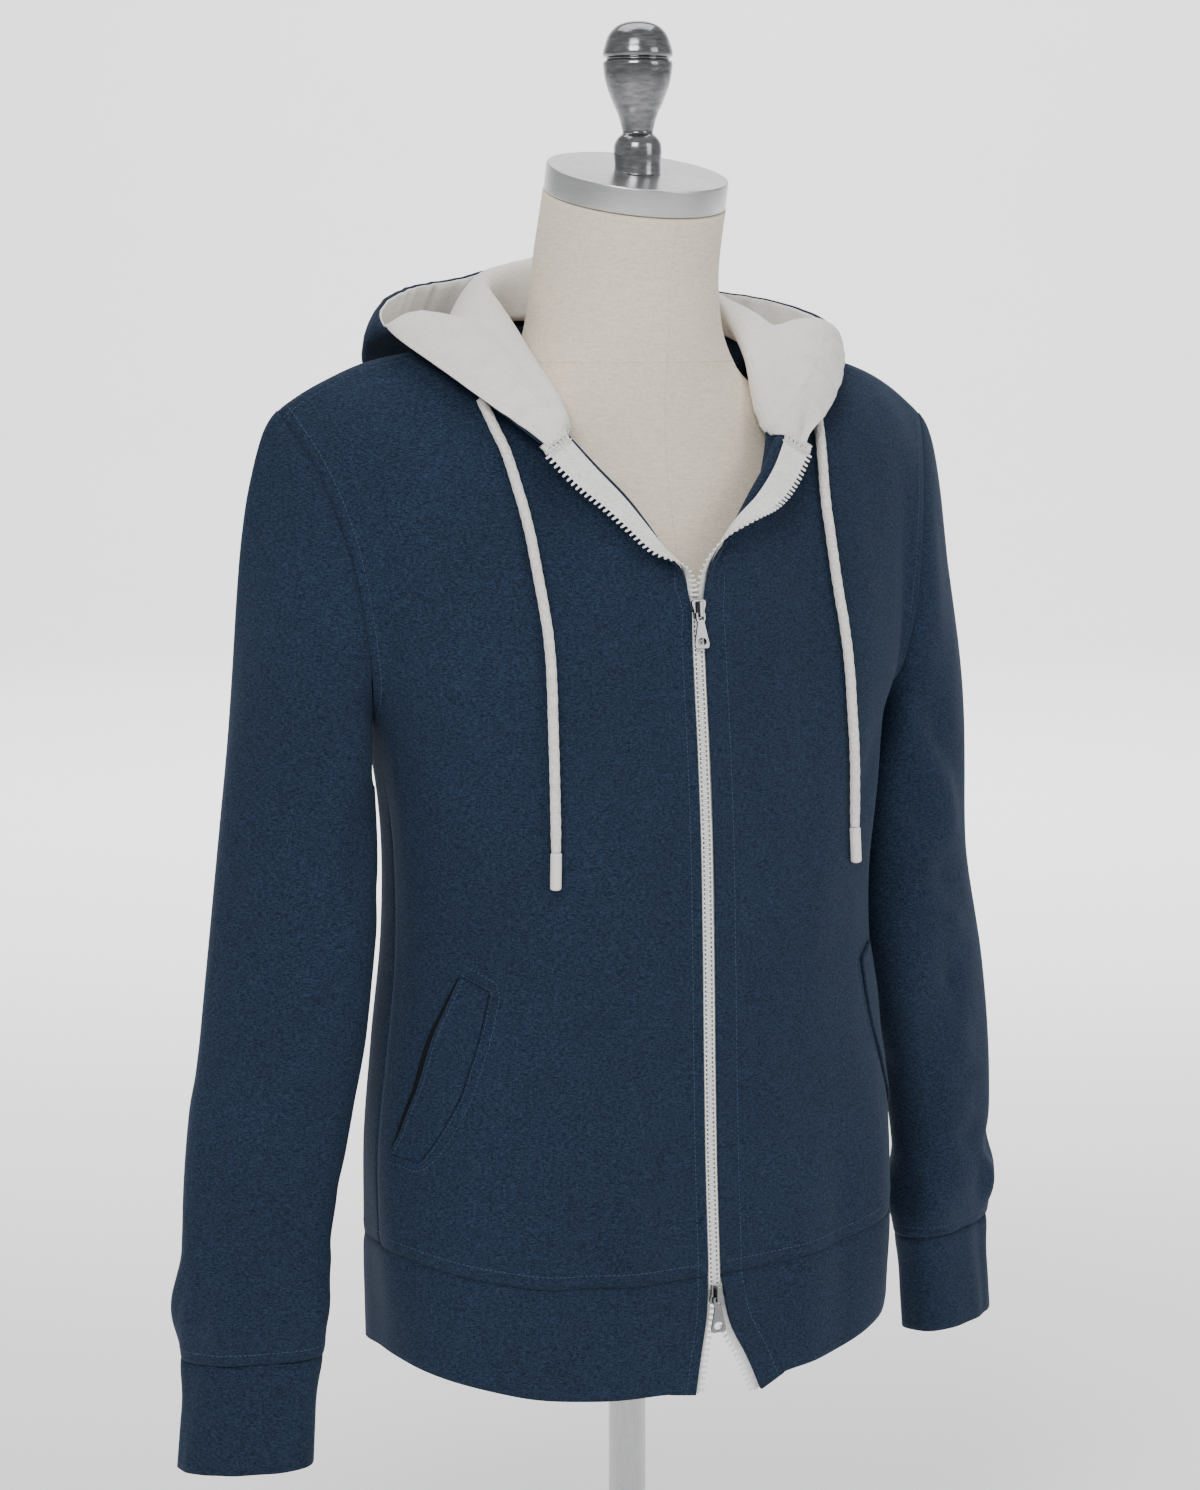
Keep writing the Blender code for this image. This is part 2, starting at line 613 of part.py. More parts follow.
# --------------------------------------------------------------------- hood
def hood_grid(side, corner, n_rows, n_front=N_NECK_F, n_back=N_NECK_B):
    """Half of the hood, [row][column]: columns run from the front corner to
    the centre back and rows from the neck seam to the rim. corner is the
    front's turned-out upper edge, from its root to the zip edge."""
    h = np.array(HOOD).reshape(len(HOOD), 6, 3)
    neck = np.array(NECKLINE)
    c = along(corner, np.array([0.18, 0.34, 0.50, 0.66, 0.84, 1.0]))
    marks = [np.vstack([corner[0], c])]
    for k in range(len(h)):
        marks.append(np.vstack([neck[k + 1], h[k]]))
    marks = np.array(marks)
    keys = np.arange(len(marks), dtype=float)
    steps = np.concatenate([np.linspace(0, N_NECK_F, n_front + 1),
                            np.linspace(N_NECK_F, N_NECK_F + N_NECK_B, n_back + 1)[1:]])
    flat = marks.reshape(len(marks), -1)
    cols = read(keys, flat, steps, free=True).reshape(len(steps), 7, 3)
    for k, t in enumerate(steps):
        # on the panels' own straight-edged seam, then just clear of it
        seam = np.array([np.interp(t, keys, neck[:, i]) for i in range(3)])
        lift = HOOD_LIFT * (1.3 + 2.4 * max(0.0, 1.0 - 0.42 * t))
        cols[k, 0] = seam + unit(cols[k, 1] - seam) * lift
    grid = [smooth_path(col, np.linspace(0, 1, n_rows + 1)) for col in cols]
    grid[0] = along(corner, np.linspace(0, 1, n_rows + 1))
    return np.array(grid).transpose(1, 0, 2)


# --------------------------------------------------------- sheets and walls
def normals(grid, closed=False):
    """Unit normals of a grid, from row direction x column direction."""
    g = grid
    dr = np.gradient(g, axis=0)
    if closed:
        dc = np.roll(g, -1, axis=1) - np.roll(g, 1, axis=1)
    else:
        dc = np.gradient(g, axis=1)
    return unit(np.cross(dc, dr))


def inset(grid, sides, amount):
    """Move the named edges of a grid inwards along the cloth."""
    g = grid.copy()
    if "low" in sides:
        g[0] += unit(grid[1] - grid[0]) * amount
    if "high" in sides:
        g[-1] += unit(grid[-2] - grid[-1]) * amount
    if "left" in sides:
        g[:, 0] += unit(grid[:, 1] - grid[:, 0]) * amount
    if "right" in sides:
        g[:, -1] += unit(grid[:, -2] - grid[:, -1]) * amount
    return g


def grid_faces(rows, cols, closed):
    span = cols if closed else cols - 1
    return [(r * cols + c, r * cols + (c + 1) % cols,
             (r + 1) * cols + (c + 1) % cols, (r + 1) * cols + c)
            for r in range(rows - 1) for c in range(span)]


def wall(name, outer, inner, colour, roughness=0.9, closed=False, metallic=0.0):
    """A closed wall between two grids, one face on each side and a rim."""
    rows, cols = outer.shape[:2]
    n = rows * cols
    verts = [tuple(p) for p in outer.reshape(-1, 3)] + [tuple(p) for p in inner.reshape(-1, 3)]
    faces = []
    for a, b, c, d in grid_faces(rows, cols, closed):
        faces += [(a, b, c), (a, c, d)]
    faces += [tuple(n + k for k in reversed(f)) for f in faces]
    rim = [[c for c in range(cols)], [(rows - 1) * cols + c for c in range(cols)]]
    if closed:
        for line, flip in ((rim[0], True), (rim[1], False)):
            for k in range(cols):
                a, b = line[k], line[(k + 1) % cols]
                faces.append((a, n + a, n + b, b) if flip else (a, b, n + b, n + a))
    else:
        loop = ([c for c in range(cols)]
                + [r * cols + cols - 1 for r in range(1, rows)]
                + [(rows - 1) * cols + c for c in range(cols - 2, -1, -1)]
                + [r * cols for r in range(rows - 2, 0, -1)])
        for k in range(len(loop)):
            a, b = loop[k], loop[(k + 1) % len(loop)]
            faces.append((a, n + a, n + b, b))
    mesh = bpy.data.meshes.new(name)
    mesh.from_pydata(verts, [], faces)
    bm = bmesh.new()
    bm.from_mesh(mesh)
    bmesh.ops.triangulate(bm, faces=bm.faces, quad_method="SHORT_EDGE")
    bmesh.ops.recalc_face_normals(bm, faces=bm.faces)
    if bm.calc_volume(signed=True) < 0:
        bmesh.ops.reverse_faces(bm, faces=bm.faces)
    bm.to_mesh(mesh)
    bm.free()
    mesh.shade_smooth()
    obj = bpy.data.objects.new(name, mesh)
    SWEATER.objects.link(obj)
    obj.data.materials.append(material(name, colour, roughness, metallic))
    return obj


def mirror(grid):
    g = grid.copy()
    g[..., 0] *= -1
    return g


def material(name, colour, roughness, metallic=0.0):
    m = bpy.data.materials.new(name + "_finish")
    m.use_nodes = True
    shader = m.node_tree.nodes["Principled BSDF"]
    shader.inputs["Base Color"].default_value = (*colour, 1.0)
    shader.inputs["Roughness"].default_value = roughness
    shader.inputs["Metallic"].default_value = metallic
    return m


NAVY = (0.013, 0.024, 0.052)
WHITE = (0.78, 0.76, 0.72)
LINEN = (0.66, 0.56, 0.44)
STEEL = (0.60, 0.60, 0.60)
BLACK = (0.02, 0.02, 0.022)


def add_object(name, mesh, colour, roughness, metallic=0.0):
    obj = bpy.data.objects.new(name, mesh)
    SWEATER.objects.link(obj)
    mesh.materials.append(material(name, colour, roughness, metallic))
    return obj


# ------------------------------------------------------------ garment solids
def outwards(grid, norms, closed=False):
    """Turn normals so that they point away from the body's axis."""
    mid = grid.reshape(-1, 3).mean(axis=0)
    lean_out = (grid[..., :2] * norms[..., :2]).sum()
    return norms if lean_out > 0 else -norms


def build_body():
    made = {}
    fronts, holes = {}, {}
    for side in (-1, 1):
        fronts[side] = front_grid(side)
    half = panel(False, 1, N_NECK_B, N_SHOULDER, N_LOW, N_HIGH, 0.0)
    half[:, -1] = fronts[1][:, -1]            # the side seam and armhole's start
    half[N_LOW:, -1] = armhole(False, yoke_rows(N_HIGH))
    back = np.concatenate([mirror(half)[:, ::-1], half[:, 1:]], axis=1)

    norm_f = {s: outwards(fronts[s], normals(fronts[s])) for s in fronts}
    norm_b = outwards(back, normals(back))
    # shared directions along the side and shoulder seams
    for s in (-1, 1):
        col = -1 if s > 0 else 0
        nb = norm_b[:, col].copy()
        if s < 0:
            nb[:, 0] *= -1
        for r in range(N_LOW + 1):
            m = unit(norm_f[s][r, -1] + nb[r])
            norm_f[s][r, -1] = m
            nb[r] = m
        span = N_SHOULDER + 1
        top_b = norm_b[-1, -span:].copy() if s > 0 else norm_b[-1, :span][::-1].copy()
        if s < 0:
            top_b[:, 0] *= -1
        top = unit(norm_f[s][-1, -span:] + top_b)
        norm_f[s][-1, -span:] = top
        if s > 0:
            norm_b[-1, -span:] = top
        else:
            back_top = top.copy()
            back_top[:, 0] *= -1
            norm_b[-1, :span] = back_top[::-1]
        nb[-1] = top[-1]
        # the armhole: pieces meet on the half angle with the sleeve
        if s < 0:
            nb[:, 0] *= -1
        norm_b[:, col] = nb
    return fronts, back, norm_f, norm_b


def armhole_loop(front, back_half):
    """Armhole points: tip, down the front to the armpit, up the back."""
    f = front[N_LOW:, -1][::-1]
    b = back_half[N_LOW:, -1]
    return np.vstack([f, b[1:-1]])


def clear_of(grid, tree, clearance, rounds=4):
    """Lift a grid off other cloth along that cloth's own normal, and spread
    each lift over its neighbours so that the sheet stays smooth. Points over
    the neck opening are left alone."""
    seam = neck_path(np.linspace(0, N_NECK_F + N_NECK_B, 90))
    out = grid.copy()
    for turn in range(rounds):
        lift = np.zeros_like(out)
        for index in np.ndindex(out.shape[:2]):
            spot, normal, _, dist = tree.find_nearest(tuple(out[index]))
            if spot is None or dist > 0.05:
                continue
            if np.linalg.norm(seam - np.array(spot), axis=1).min() < 0.003:
                continue
            gap = float(np.dot(out[index] - np.array(spot), np.array(normal)))
            if gap < clearance:
                lift[index] = np.array(normal) * (clearance - gap)
        if turn < rounds - 1:
            near = lift.copy()
            near[1:] += 0.5 * lift[:-1]
            near[:-1] += 0.5 * lift[1:]
            near[:, 1:] += 0.5 * lift[:, :-1]
            near[:, :-1] += 0.5 * lift[:, 1:]
            size = np.linalg.norm(near, axis=-1, keepdims=True)
            most = max(np.linalg.norm(lift, axis=-1).max(), 1e-9)
            lift = near * np.minimum(1.0, most / np.maximum(size, 1e-9))
        out = out + lift
    return out


def sheet_tree(sheets):
    """Search tree of some sheets, their faces turned the way of the normals."""
    points, faces = [], []
    for grid, norms in sheets:
        first = len(points)
        rows, cols = grid.shape[:2]
        flat = grid.reshape(-1, 3)
        flat_n = norms.reshape(-1, 3)
        points += [tuple(p) for p in flat]
        for f in grid_faces(rows, cols, False):
            a, b, c, d = (flat[k] for k in f)
            n = np.cross(b - a, d - a) + np.cross(d - c, b - c)
            f = f if np.dot(n, flat_n[f[0]]) > 0 else tuple(reversed(f))
            faces.append(tuple(first + k for k in f))
    return BVHTree.FromPolygons(points, faces)


def build():
    fronts, back, norm_f, norm_b = build_body()
    c = (back.shape[1] - 1) // 2
    half_back = back[:, c:]
    pieces = {}

    # sleeves and cuffs, which share the armhole's direction with the body
    for side, tag in ((1, "left"), (-1, "right")):
        hole = armhole_loop(fronts[side], half_back)
        hole_out = hole.copy()
        sleeve, a = sleeve_grid(side, hole_out, N_HEAD, N_ARM)
        ns = normals(sleeve, closed=True)
        centre = sleeve.mean(axis=1, keepdims=True)
        if ((sleeve - centre) * ns).sum() < 0:
            ns = -ns
        # half angle along the armhole
        n_f = norm_f[side][N_LOW:, -1][::-1]
        n_b = (norm_b[N_LOW:, -1] if side > 0 else norm_b[N_LOW:, 0] * np.array([-1, 1, 1]))
        body_n = np.vstack([n_f, n_b[1:-1]])
        shared = unit(body_n + ns[0])
        ns[0] = shared
        norm_f[side][N_LOW:, -1] = shared[:N_HIGH + 1][::-1]
        back_n = np.vstack([shared[N_HIGH:], shared[:1]])
        if side > 0:
            norm_b[N_LOW:, -1] = back_n
        else:
            norm_b[N_LOW:, 0] = back_n * np.array([-1, 1, 1])
        g = inset(sleeve, ("low", "high"), SEAM / 2)
        pieces["sleeve_" + tag] = (g, g - ns * WALL, side, True, NAVY)
        cuff = cuff_grid(side, a, 3)
        nc = normals(cuff, closed=True)
        centre = cuff.mean(axis=1, keepdims=True)
        if ((cuff - centre) * nc).sum() < 0:
            nc = -nc
        g = inset(cuff, ("low",), SEAM / 2)
        g[0] = sleeve[-1] + (g[0] - sleeve[-1]) * 0.55
        g[0, :, 2] = sleeve[-1, :, 2] - SEAM / 2
        pieces["cuff_" + tag] = (g, g - nc * BAND_WALL, side, True, NAVY)

    # fronts and back
    for side, tag in ((1, "left"), (-1, "right")):
        g = inset(fronts[side], ("low", "high", "right"), SEAM / 2)
        pieces["front_" + tag] = (g, g - norm_f[side] * WALL, side, False, NAVY)
    g = inset(back, ("low", "high", "left", "right"), SEAM / 2)
    pieces["back"] = (g, g - norm_b * WALL, 1, False, NAVY)

    # hem band, one strip from zip edge to zip edge
    n_side = N_NECK_F + N_SHOULDER
    halves = {s: band_grid(s, N_MARGIN, n_side, 3) for s in (-1, 1)}
    n_half = N_NECK_B + N_SHOULDER
    rear = []
    for z in np.linspace(HEM_Z, BAND_Z, 4):
        rear.append(along(ring_arc(z, False), np.linspace(0, 1, n_half + 1)))
    rear = np.array(rear)
    band = np.concatenate([halves[1], rear[:, ::-1][:, 1:], mirror(rear)[:, 1:],
                           mirror(halves[-1])[:, ::-1][:, 1:]], axis=1)
    nb = outwards(band, normals(band))
    g = inset(band, ("high",), SEAM / 2)
    pieces["hem_band"] = (g, g - nb * BAND_WALL, 1, False, NAVY)

    # hood and lining, kept off the shoulders and the back
    for side, tag in ((1, "left"), (-1, "right")):
        corner = fronts[side][-1, :N_MARGIN + 1][::-1]
        grid = hood_grid(side, corner, N_HOOD, N_HOOD_F, N_HOOD_B)
        tree = sheet_tree([(fronts[side], norm_f[side]), (half_back, norm_b[:, c:])])
        grid[2:, 1:] = clear_of(grid[2:, 1:], tree, 0.0030)
        grid[:, -1, 0] = 0.0
        nh = normals(grid)
        # the standing part beside the neck faces away from the neck
        test = (grid[1, 6:, :2] * nh[1, 6:, :2]).sum()
        nh = nh if test > 0 else -nh
        nh[:, -1, 0] = 0.0
        nh = unit(nh)
        corner_run = unit(fronts[side][-1, 2] - fronts[side][-2, 2])
        n_corner = norm_f[side][-1, :N_MARGIN + 1][::-1]
        s_old = np.linspace(0, 1, N_MARGIN + 1)
        s_new = np.linspace(0, 1, N_HOOD + 1)
        nh[:, 0] = unit(np.stack([np.interp(s_new, s_old, n_corner[:, k]) for k in range(3)], axis=1))
        g = inset(grid, ("right",), SEAM / 2)
        g[:, 0] += corner_run * 0.0014
        pieces["hood_" + tag] = (g, g - nh * WALL, side, False, NAVY)
        inner = g - nh * (WALL + LINING_GAP)
        inner[0] += unit(inner[1] - inner[0]) * 0.0012
        pieces["hood_lining_" + tag] = (inner, inner - nh * LINING, side, False, WHITE)

    # zip tapes, behind the margins and turning out with them
    for side, tag in ((1, "left"), (-1, "right")):
        zs = np.concatenate([np.linspace(HEM_Z, BAND_Z, 4)[:-1], row_heights(N_LOW, N_HIGH)])
        zs[0] += 0.0008
        zs[-1] -= 0.0008
        rows = []
        for z in zs:
            rows.append(margin(side, z, tape_stops(side, z, N_MARGIN), edge_ahead(z),
                               -(BAND_WALL + TAPE_GAP)))
        g = np.array(rows)
        nt = outwards(g[:12], normals(g)[:12])
        nt = normals(g) if np.allclose(nt, normals(g)[:12]) else -normals(g)
        pieces["zip_tape_" + tag] = (g, g - nt * TAPE, side, False, WHITE)

    # pocket welts, laid on the fronts
    for side, tag in ((1, "left"), (-1, "right")):
        tree = sheet_tree([(fronts[side], norm_f[side])])
        rows = []
        lines = read(np.arange(len(POCKET)), np.array(POCKET),
                     np.linspace(0, len(POCKET) - 1, 9))
        for z_a, x_a, z_b, x_b in lines:
            rows.append([on_front(tree, side, z_a + (z_b - z_a) * t, x_a + (x_b - x_a) * t)
                         for t in np.linspace(0, 1, 4)])
        g = np.array([[p for p, _ in row] for row in rows])
        nw = np.array([[m for _, m in row] for row in rows])
        base = g + nw * 0.0011
        pieces["pocket_welt_" + tag] = (base + nw * WELT, base, side, False, NAVY)

    for name, (outer, inner, side, closed, colour) in pieces.items():
        if side < 0:
            outer, inner = mirror(outer), mirror(inner)
        wall(name, lean(outer), lean(inner), colour, closed=closed)
    build_cords(fronts, norm_f)


def on_front(tree, side, z, x):
    """Point and outward normal of a front's face below the chest line."""
    arc = ring_arc(z, True, edge(side, z)[0][0])
    k = int(np.clip(np.searchsorted(arc[:, 0], x), 1, len(arc) - 2))
    along_arc = unit(arc[k + 1] - arc[k - 1])
    out = unit(np.array([along_arc[1], -along_arc[0], 0.0]))
    spot, normal, _, _ = tree.ray_cast(tuple(arc[k] + out * 0.03), tuple(-out))
    return np.array(spot), unit(np.array(normal) + out)


def front_spot(tree, x, z):
    """Point and outward normal of the front's face at x and z."""
    spot, normal, _, _ = tree.ray_cast((x, -0.5, z), (0, 1, 0))
    n = np.array(normal)
    return np.array(spot), n if n[1] < 0 else -n


# ----------------------------------------------------------- hard pieces
def tube(name, points, radius, resolution, colour, roughness):
    curve = bpy.data.curves.new(name, "CURVE")
    curve.dimensions = "3D"
    curve.bevel_depth = radius
    curve.bevel_resolution = resolution
    curve.use_fill_caps = True
    line = curve.splines.new("POLY")
    line.points.add(len(points) - 1)
    for spot, p in zip(line.points, points):
        spot.co = (*p, 1.0)
    return add_object(name, curve, colour, roughness)


def turned(name, profile, colour, roughness, metallic, steps=32, location=(0, 0, 0), tilt=0.0):
    """A turned piece: (height, radius) from the top down the outer side."""
    mesh = bpy.data.meshes.new(name)
    verts = [(r, 0.0, z) for z, r in profile]
    mesh.from_pydata(verts, [(k, k + 1) for k in range(len(verts) - 1)], [])
    obj = add_object(name, mesh, colour, roughness, metallic)
    screw = obj.modifiers.new("turn", "SCREW")
    screw.steps = screw.render_steps = steps
    screw.use_merge_vertices = True
    screw.merge_threshold = 0.00005
    screw.use_smooth_shade = True
    obj.location = location
    obj.rotation_euler = (tilt, 0, 0)
    return obj


def box_mesh(bm, size, centre):
    made = bmesh.ops.create_cube(bm, size=1.0)
    for v in made["verts"]:
        v.co.x = v.co.x * size[0] + centre[0]
        v.co.y = v.co.y * size[1] + centre[1]
        v.co.z = v.co.z * size[2] + centre[2]


def solid_from(bm, name):
    mesh = bpy.data.meshes.new(name)
    bm.to_mesh(mesh)
    bm.free()
    return mesh


def boolean(obj, other, how):
    mod = obj.modifiers.new(how.lower(), "BOOLEAN")
    mod.operation = how
    mod.solver = "EXACT"
    mod.object = other
    CUTTERS.objects.link(other)
    other.hide_render = True
    other.display_type = "WIRE"


def loose(name, bm, place=None):
    """A cutter or joined piece, kept out of the sweater's own collection."""
    obj = bpy.data.objects.new(name, solid_from(bm, name))
    if place is not None:
        obj.matrix_world = place
    return obj


def zip_face(z):
    """Depth of the cloth's outer face at the closed zip."""
    return margin_point(1, z, MARGIN + 0.002, edge_ahead(z))[1]


def prism(bm, outline, y, thick):
    """Upright plate with the given outline of (x, z), its front at depth y."""
    front = [bm.verts.new((x, y, z)) for x, z in outline]
    back = [bm.verts.new((x, y + thick, z)) for x, z in outline]
    bm.faces.new(front)
    bm.faces.new(list(reversed(back)))
    n = len(outline)
    for k in range(n):
        bm.faces.new((front[(k + 1) % n], front[k], back[k], back[(k + 1) % n]))
    bmesh.ops.recalc_face_normals(bm, faces=bm.faces)


def oval(half_w, half_h, x, z, count=20):
    t = np.linspace(0, 2 * pi, count, endpoint=False)
    return [(x + half_w * cos(a), z + half_h * sin(a)) for a in t]


def build_zip():
    """Closed length of teeth, sliders and pull tabs at the centre front."""
    z0, z1 = SLIDER_LOW_Z + SLIDER_H - 0.0042, SLIDER_TOP_Z - SLIDER_H + 0.0042
    zs = np.concatenate([np.linspace(HEM_Z, BAND_Z, 4)[:-1], row_heights(N_LOW, N_HIGH)])
    faces = np.array([zip_face(z) for z in zs])
    rows = []
    for z in [z0] + [z for z in zs if z0 < z < z1] + [z1]:
        y = np.interp(z, zs, faces) + BAND_WALL + TAPE_GAP - 0.0003 - CHAIN_T
        rows.append([(x, y, z) for x in (-CHAIN_W / 2, -CHAIN_W / 6, CHAIN_W / 6, CHAIN_W / 2)])
    rows = np.array(rows)
    back = rows.copy()
    back[..., 1] += CHAIN_T
    wall("zip_chain", rows, back, WHITE, 0.45)

    for name, z_low, up in (("top", SLIDER_TOP_Z - SLIDER_H, 1), ("bottom", SLIDER_LOW_Z, -1)):
        # built about the middle of the slider on the cloth's face, then leant
        # with the cloth
        z_mid = z_low + SLIDER_H / 2
        half = SLIDER_H / 2
        slope = (zip_face(z_mid + half) - zip_face(z_mid - half)) / SLIDER_H
        place = Matrix.Translation((0, zip_face(z_mid), z_mid)) @ Matrix.Rotation(-atan(slope), 4, "X")
        front = -0.0004 - PLATE_T
        rear = BAND_WALL + TAPE_GAP + TAPE + 0.0004
        a, b = SLIDER_WIDE / 2, SLIDER_NARROW / 2
        shape = [(-b, -half), (b, -half), (b, -0.15 * half), (a, 0.45 * half), (a, 0.8 * half),
                 (0.7 * a, half), (-0.7 * a, half), (-a, 0.8 * half), (-a, 0.45 * half),
                 (-b, -0.15 * half)]
        shape = [(x, z * up) for x, z in shape]
        if up < 0:
            shape = shape[::-1]
        bm = bmesh.new()
        prism(bm, shape, front, PLATE_T)
        body = add_object("slider_" + name, solid_from(bm, "slider_" + name), STEEL, 0.25, 1.0)
        body.matrix_world = place
        edges = body.modifiers.new("edges", "BEVEL")
        edges.width = 0.0004
        edges.segments = 2
        edges.limit_method = "ANGLE"

        bm = bmesh.new()
        prism(bm, shape, rear, REAR_T)
        boolean(body, loose("slider_back_" + name, bm, place), "UNION")
        bm = bmesh.new()
        neck_h = 0.0032
        box_mesh(bm, (0.0018, rear + REAR_T / 2 - front - PLATE_T / 2, neck_h),
                 (0, (rear + REAR_T / 2 + front + PLATE_T / 2) / 2,
                  up * (half - 0.0006 - neck_h / 2)))
        boolean(body, loose("slider_neck_" + name, bm, place), "UNION")
        # the arch: two legs and a bar, cut from one block
        leg_low = -half + 0.0009
        leg_top = half - 0.0012
        bm = bmesh.new()
        depth = ARCH_GAP + ARCH_T + PLATE_T / 2
        box_mesh(bm, (ARCH_W, depth, leg_top - leg_low),
                 (0, front + PLATE_T / 2 - depth / 2, (leg_top + leg_low) / 2))
        arch = loose("arch_" + name, bm, place)
        rounded = arch.modifiers.new("edges", "BEVEL")
        rounded.width = 0.0005
        rounded.segments = 2
        bm = bmesh.new()
        box_mesh(bm, (ARCH_W * 2, ARCH_GAP, leg_top - leg_low - 2 * LEG_H),
                 (0, front - ARCH_GAP / 2, (leg_top + leg_low) / 2))
        boolean(arch, loose("arch_hollow_" + name, bm, place), "DIFFERENCE")
        boolean(body, arch, "UNION")

        # pull tab, hanging on the lower leg; its origin is on the hinge
        hinge = place @ Matrix.Translation((0.0, front - ARCH_GAP / 2, leg_low + LEG_H + 0.0009))
        outline = [(-0.0029, 0.0006), (0.0029, 0.0006), (0.0034, 0.0001), (0.0034, -0.0040),
                   (0.0026, -0.0056), (0.0030, -0.0080), (0.0054, -PULL_L + 0.0030),
                   (0.0051, -PULL_L + 0.0009), (0.0040, -PULL_L), (-0.0040, -PULL_L),
                   (-0.0051, -PULL_L + 0.0009), (-0.0054, -PULL_L + 0.0030),
                   (-0.0030, -0.0080), (-0.0026, -0.0056), (-0.0034, -0.0040), (-0.0034, 0.0001)]
        bm = bmesh.new()
        prism(bm, outline, -PULL_T / 2, PULL_T)
        pull = add_object("pull_" + name, solid_from(bm, "pull_" + name), STEEL, 0.25, 1.0)
        pull.matrix_world = hinge
        edges = pull.modifiers.new("edges", "BEVEL")
        edges.width = 0.0003
        edges.segments = 2
        edges.limit_method = "ANGLE"
        for hole, what in (([(-0.0021, -0.0006), (0.0021, -0.0006), (0.0021, -0.0040),
                             (0.0015, -0.0044), (-0.0015, -0.0044), (-0.0021, -0.0040)], "eye"),
                           (oval(0.0034, 0.0026, 0.0, -PULL_L + 0.0044), "opening")):
            bm = bmesh.new()
            prism(bm, hole, -0.003, 0.006)
            boolean(pull, loose(what + "_" + name, bm, hinge), "DIFFERENCE")


def cord_line(side, tree):
    """Centre line of a drawcord, down to the foot of its tip."""
    c = np.array(CORD)[::-1]
    column = 1 if side < 0 else 2
    line = []
    for z in np.linspace(c[0, 0], c[-1, 0], 60):
        x = side * read(c[:, 0], c[:, column], z)[0]
        spot, normal = front_spot(tree, x, z)
        line.append(spot + normal * (CORD_D / 2 + CORD_CLEAR))
    line = np.array(line)[::-1]
    # keep the widest bulge so the cord hangs straight from it, not into hollows
    for _ in range(40):
        mid = (line[:-2] + line[2:]) / 2
        line[1:-1, 1] = np.minimum(line[1:-1, 1], mid[:, 1])
    return line


def build_cords(fronts, norm_f):
    for side, tag in ((1, "left"), (-1, "right")):
        grid, norms = fronts[side], norm_f[side]
        if side < 0:
            grid, norms = mirror(grid), mirror(norms)
        tree = sheet_tree([(lean(grid), norms)])
        line = cord_line(side, tree)
        length = np.linalg.norm(np.diff(line, axis=0), axis=1).sum()
        cut = 1.0 - TIP_L / length
        body = smooth_path(along(line, np.linspace(0, cut - GAP / length, 16)),
                           np.linspace(0, 1, 19))
        tip = along(line, np.linspace(cut, 1.0, 3))
        tube("drawcord_" + tag, body, CORD_D / 2, 2, WHITE, 0.9)
        tube("cord_tip_" + tag, tip, TIP_D / 2, 2, WHITE, 0.4)


def build_form():
    rows = []
    n = 36
    a = np.linspace(0, 2 * pi, n, endpoint=False)
    for z, half, front, rear, power in FORM:
        mid, depth = (front + rear) / 2, (rear - front) / 2
        e, f = np.cos(a), np.sin(a)
        ring = np.stack([half * np.sign(e) * np.abs(e) ** (2 / power),
                         mid + depth * np.sign(f) * np.abs(f) ** (2 / power),
                         np.full(n, z)], axis=1)
        if z > 0.90:
            share = (z - 0.90) / (NECK_TOP - 0.90)
            ring[:, 2] += (ring[:, 1] - NECK_Y) * tan(radians(CAP_TILT)) * share
        rows.append(ring)
    rows = np.array(rows)
    verts = [tuple(p) for p in rows.reshape(-1, 3)]
    faces = grid_faces(len(rows), n, True)
    faces += [tuple(range(n - 1, -1, -1)), tuple((len(rows) - 1) * n + k for k in range(n))]
    mesh = bpy.data.meshes.new("form_torso")
    mesh.from_pydata(verts, [], faces)
    bm = bmesh.new()
    bm.from_mesh(mesh)
    bmesh.ops.recalc_face_normals(bm, faces=bm.faces)
    bm.to_mesh(mesh)
    bm.free()
    add_object("form_torso", mesh, LINEN, 0.85)

    tilt = radians(CAP_TILT)
    top = np.array([0, NECK_Y, NECK_TOP])
    axis = np.array([0, -sin(tilt), cos(tilt)])
    foot = top + axis * GAP
    turned("form_cap", [(CAP_H, 0.0), (CAP_H, CAP_R - 0.0012), (CAP_H - 0.0012, CAP_R),
                        (0.0010, CAP_R), (0.0, CAP_R - 0.0010), (0.0, 0.0)],
           STEEL, 0.3, 1.0, 40, tuple(foot), tilt)
    seat = foot + axis * (CAP_H + GAP)
    knob = turned("form_knob", list(KNOB) + [(KNOB[-1][0], 0.0)],
                  STEEL, 0.28, 1.0, 28, (0, seat[1], seat[2]))
    bm = bmesh.new()
    box_mesh(bm, (0.1, 0.1, 0.04), (0, 0, -0.02))
    cut = loose("knob_foot_cut", bm)
    cut.location = (0, seat[1], seat[2])
    cut.rotation_euler = (tilt, 0, 0)
    boolean(knob, cut, "DIFFERENCE")
    turned("form_pole", [(FORM[0][0] - GAP, 0.0), (FORM[0][0] - GAP, 0.032),
                         (FORM[0][0] - 0.006, 0.032), (FORM[0][0] - 0.010, POLE_R),
                         (BASE_H + 0.030, POLE_R), (BASE_H + 0.012, 0.022),
                         (BASE_H + GAP, 0.026), (BASE_H + GAP, 0.0)],
           STEEL, 0.3, 1.0, 24)
    turned("form_base", [(BASE_H, 0.0), (BASE_H, 0.060), (0.014, BASE_R - 0.004),
                         (0.010, BASE_R), (0.0015, BASE_R), (0.0, BASE_R - 0.0015), (0.0, 0.0)],
           BLACK, 0.4, 0.0, 48)


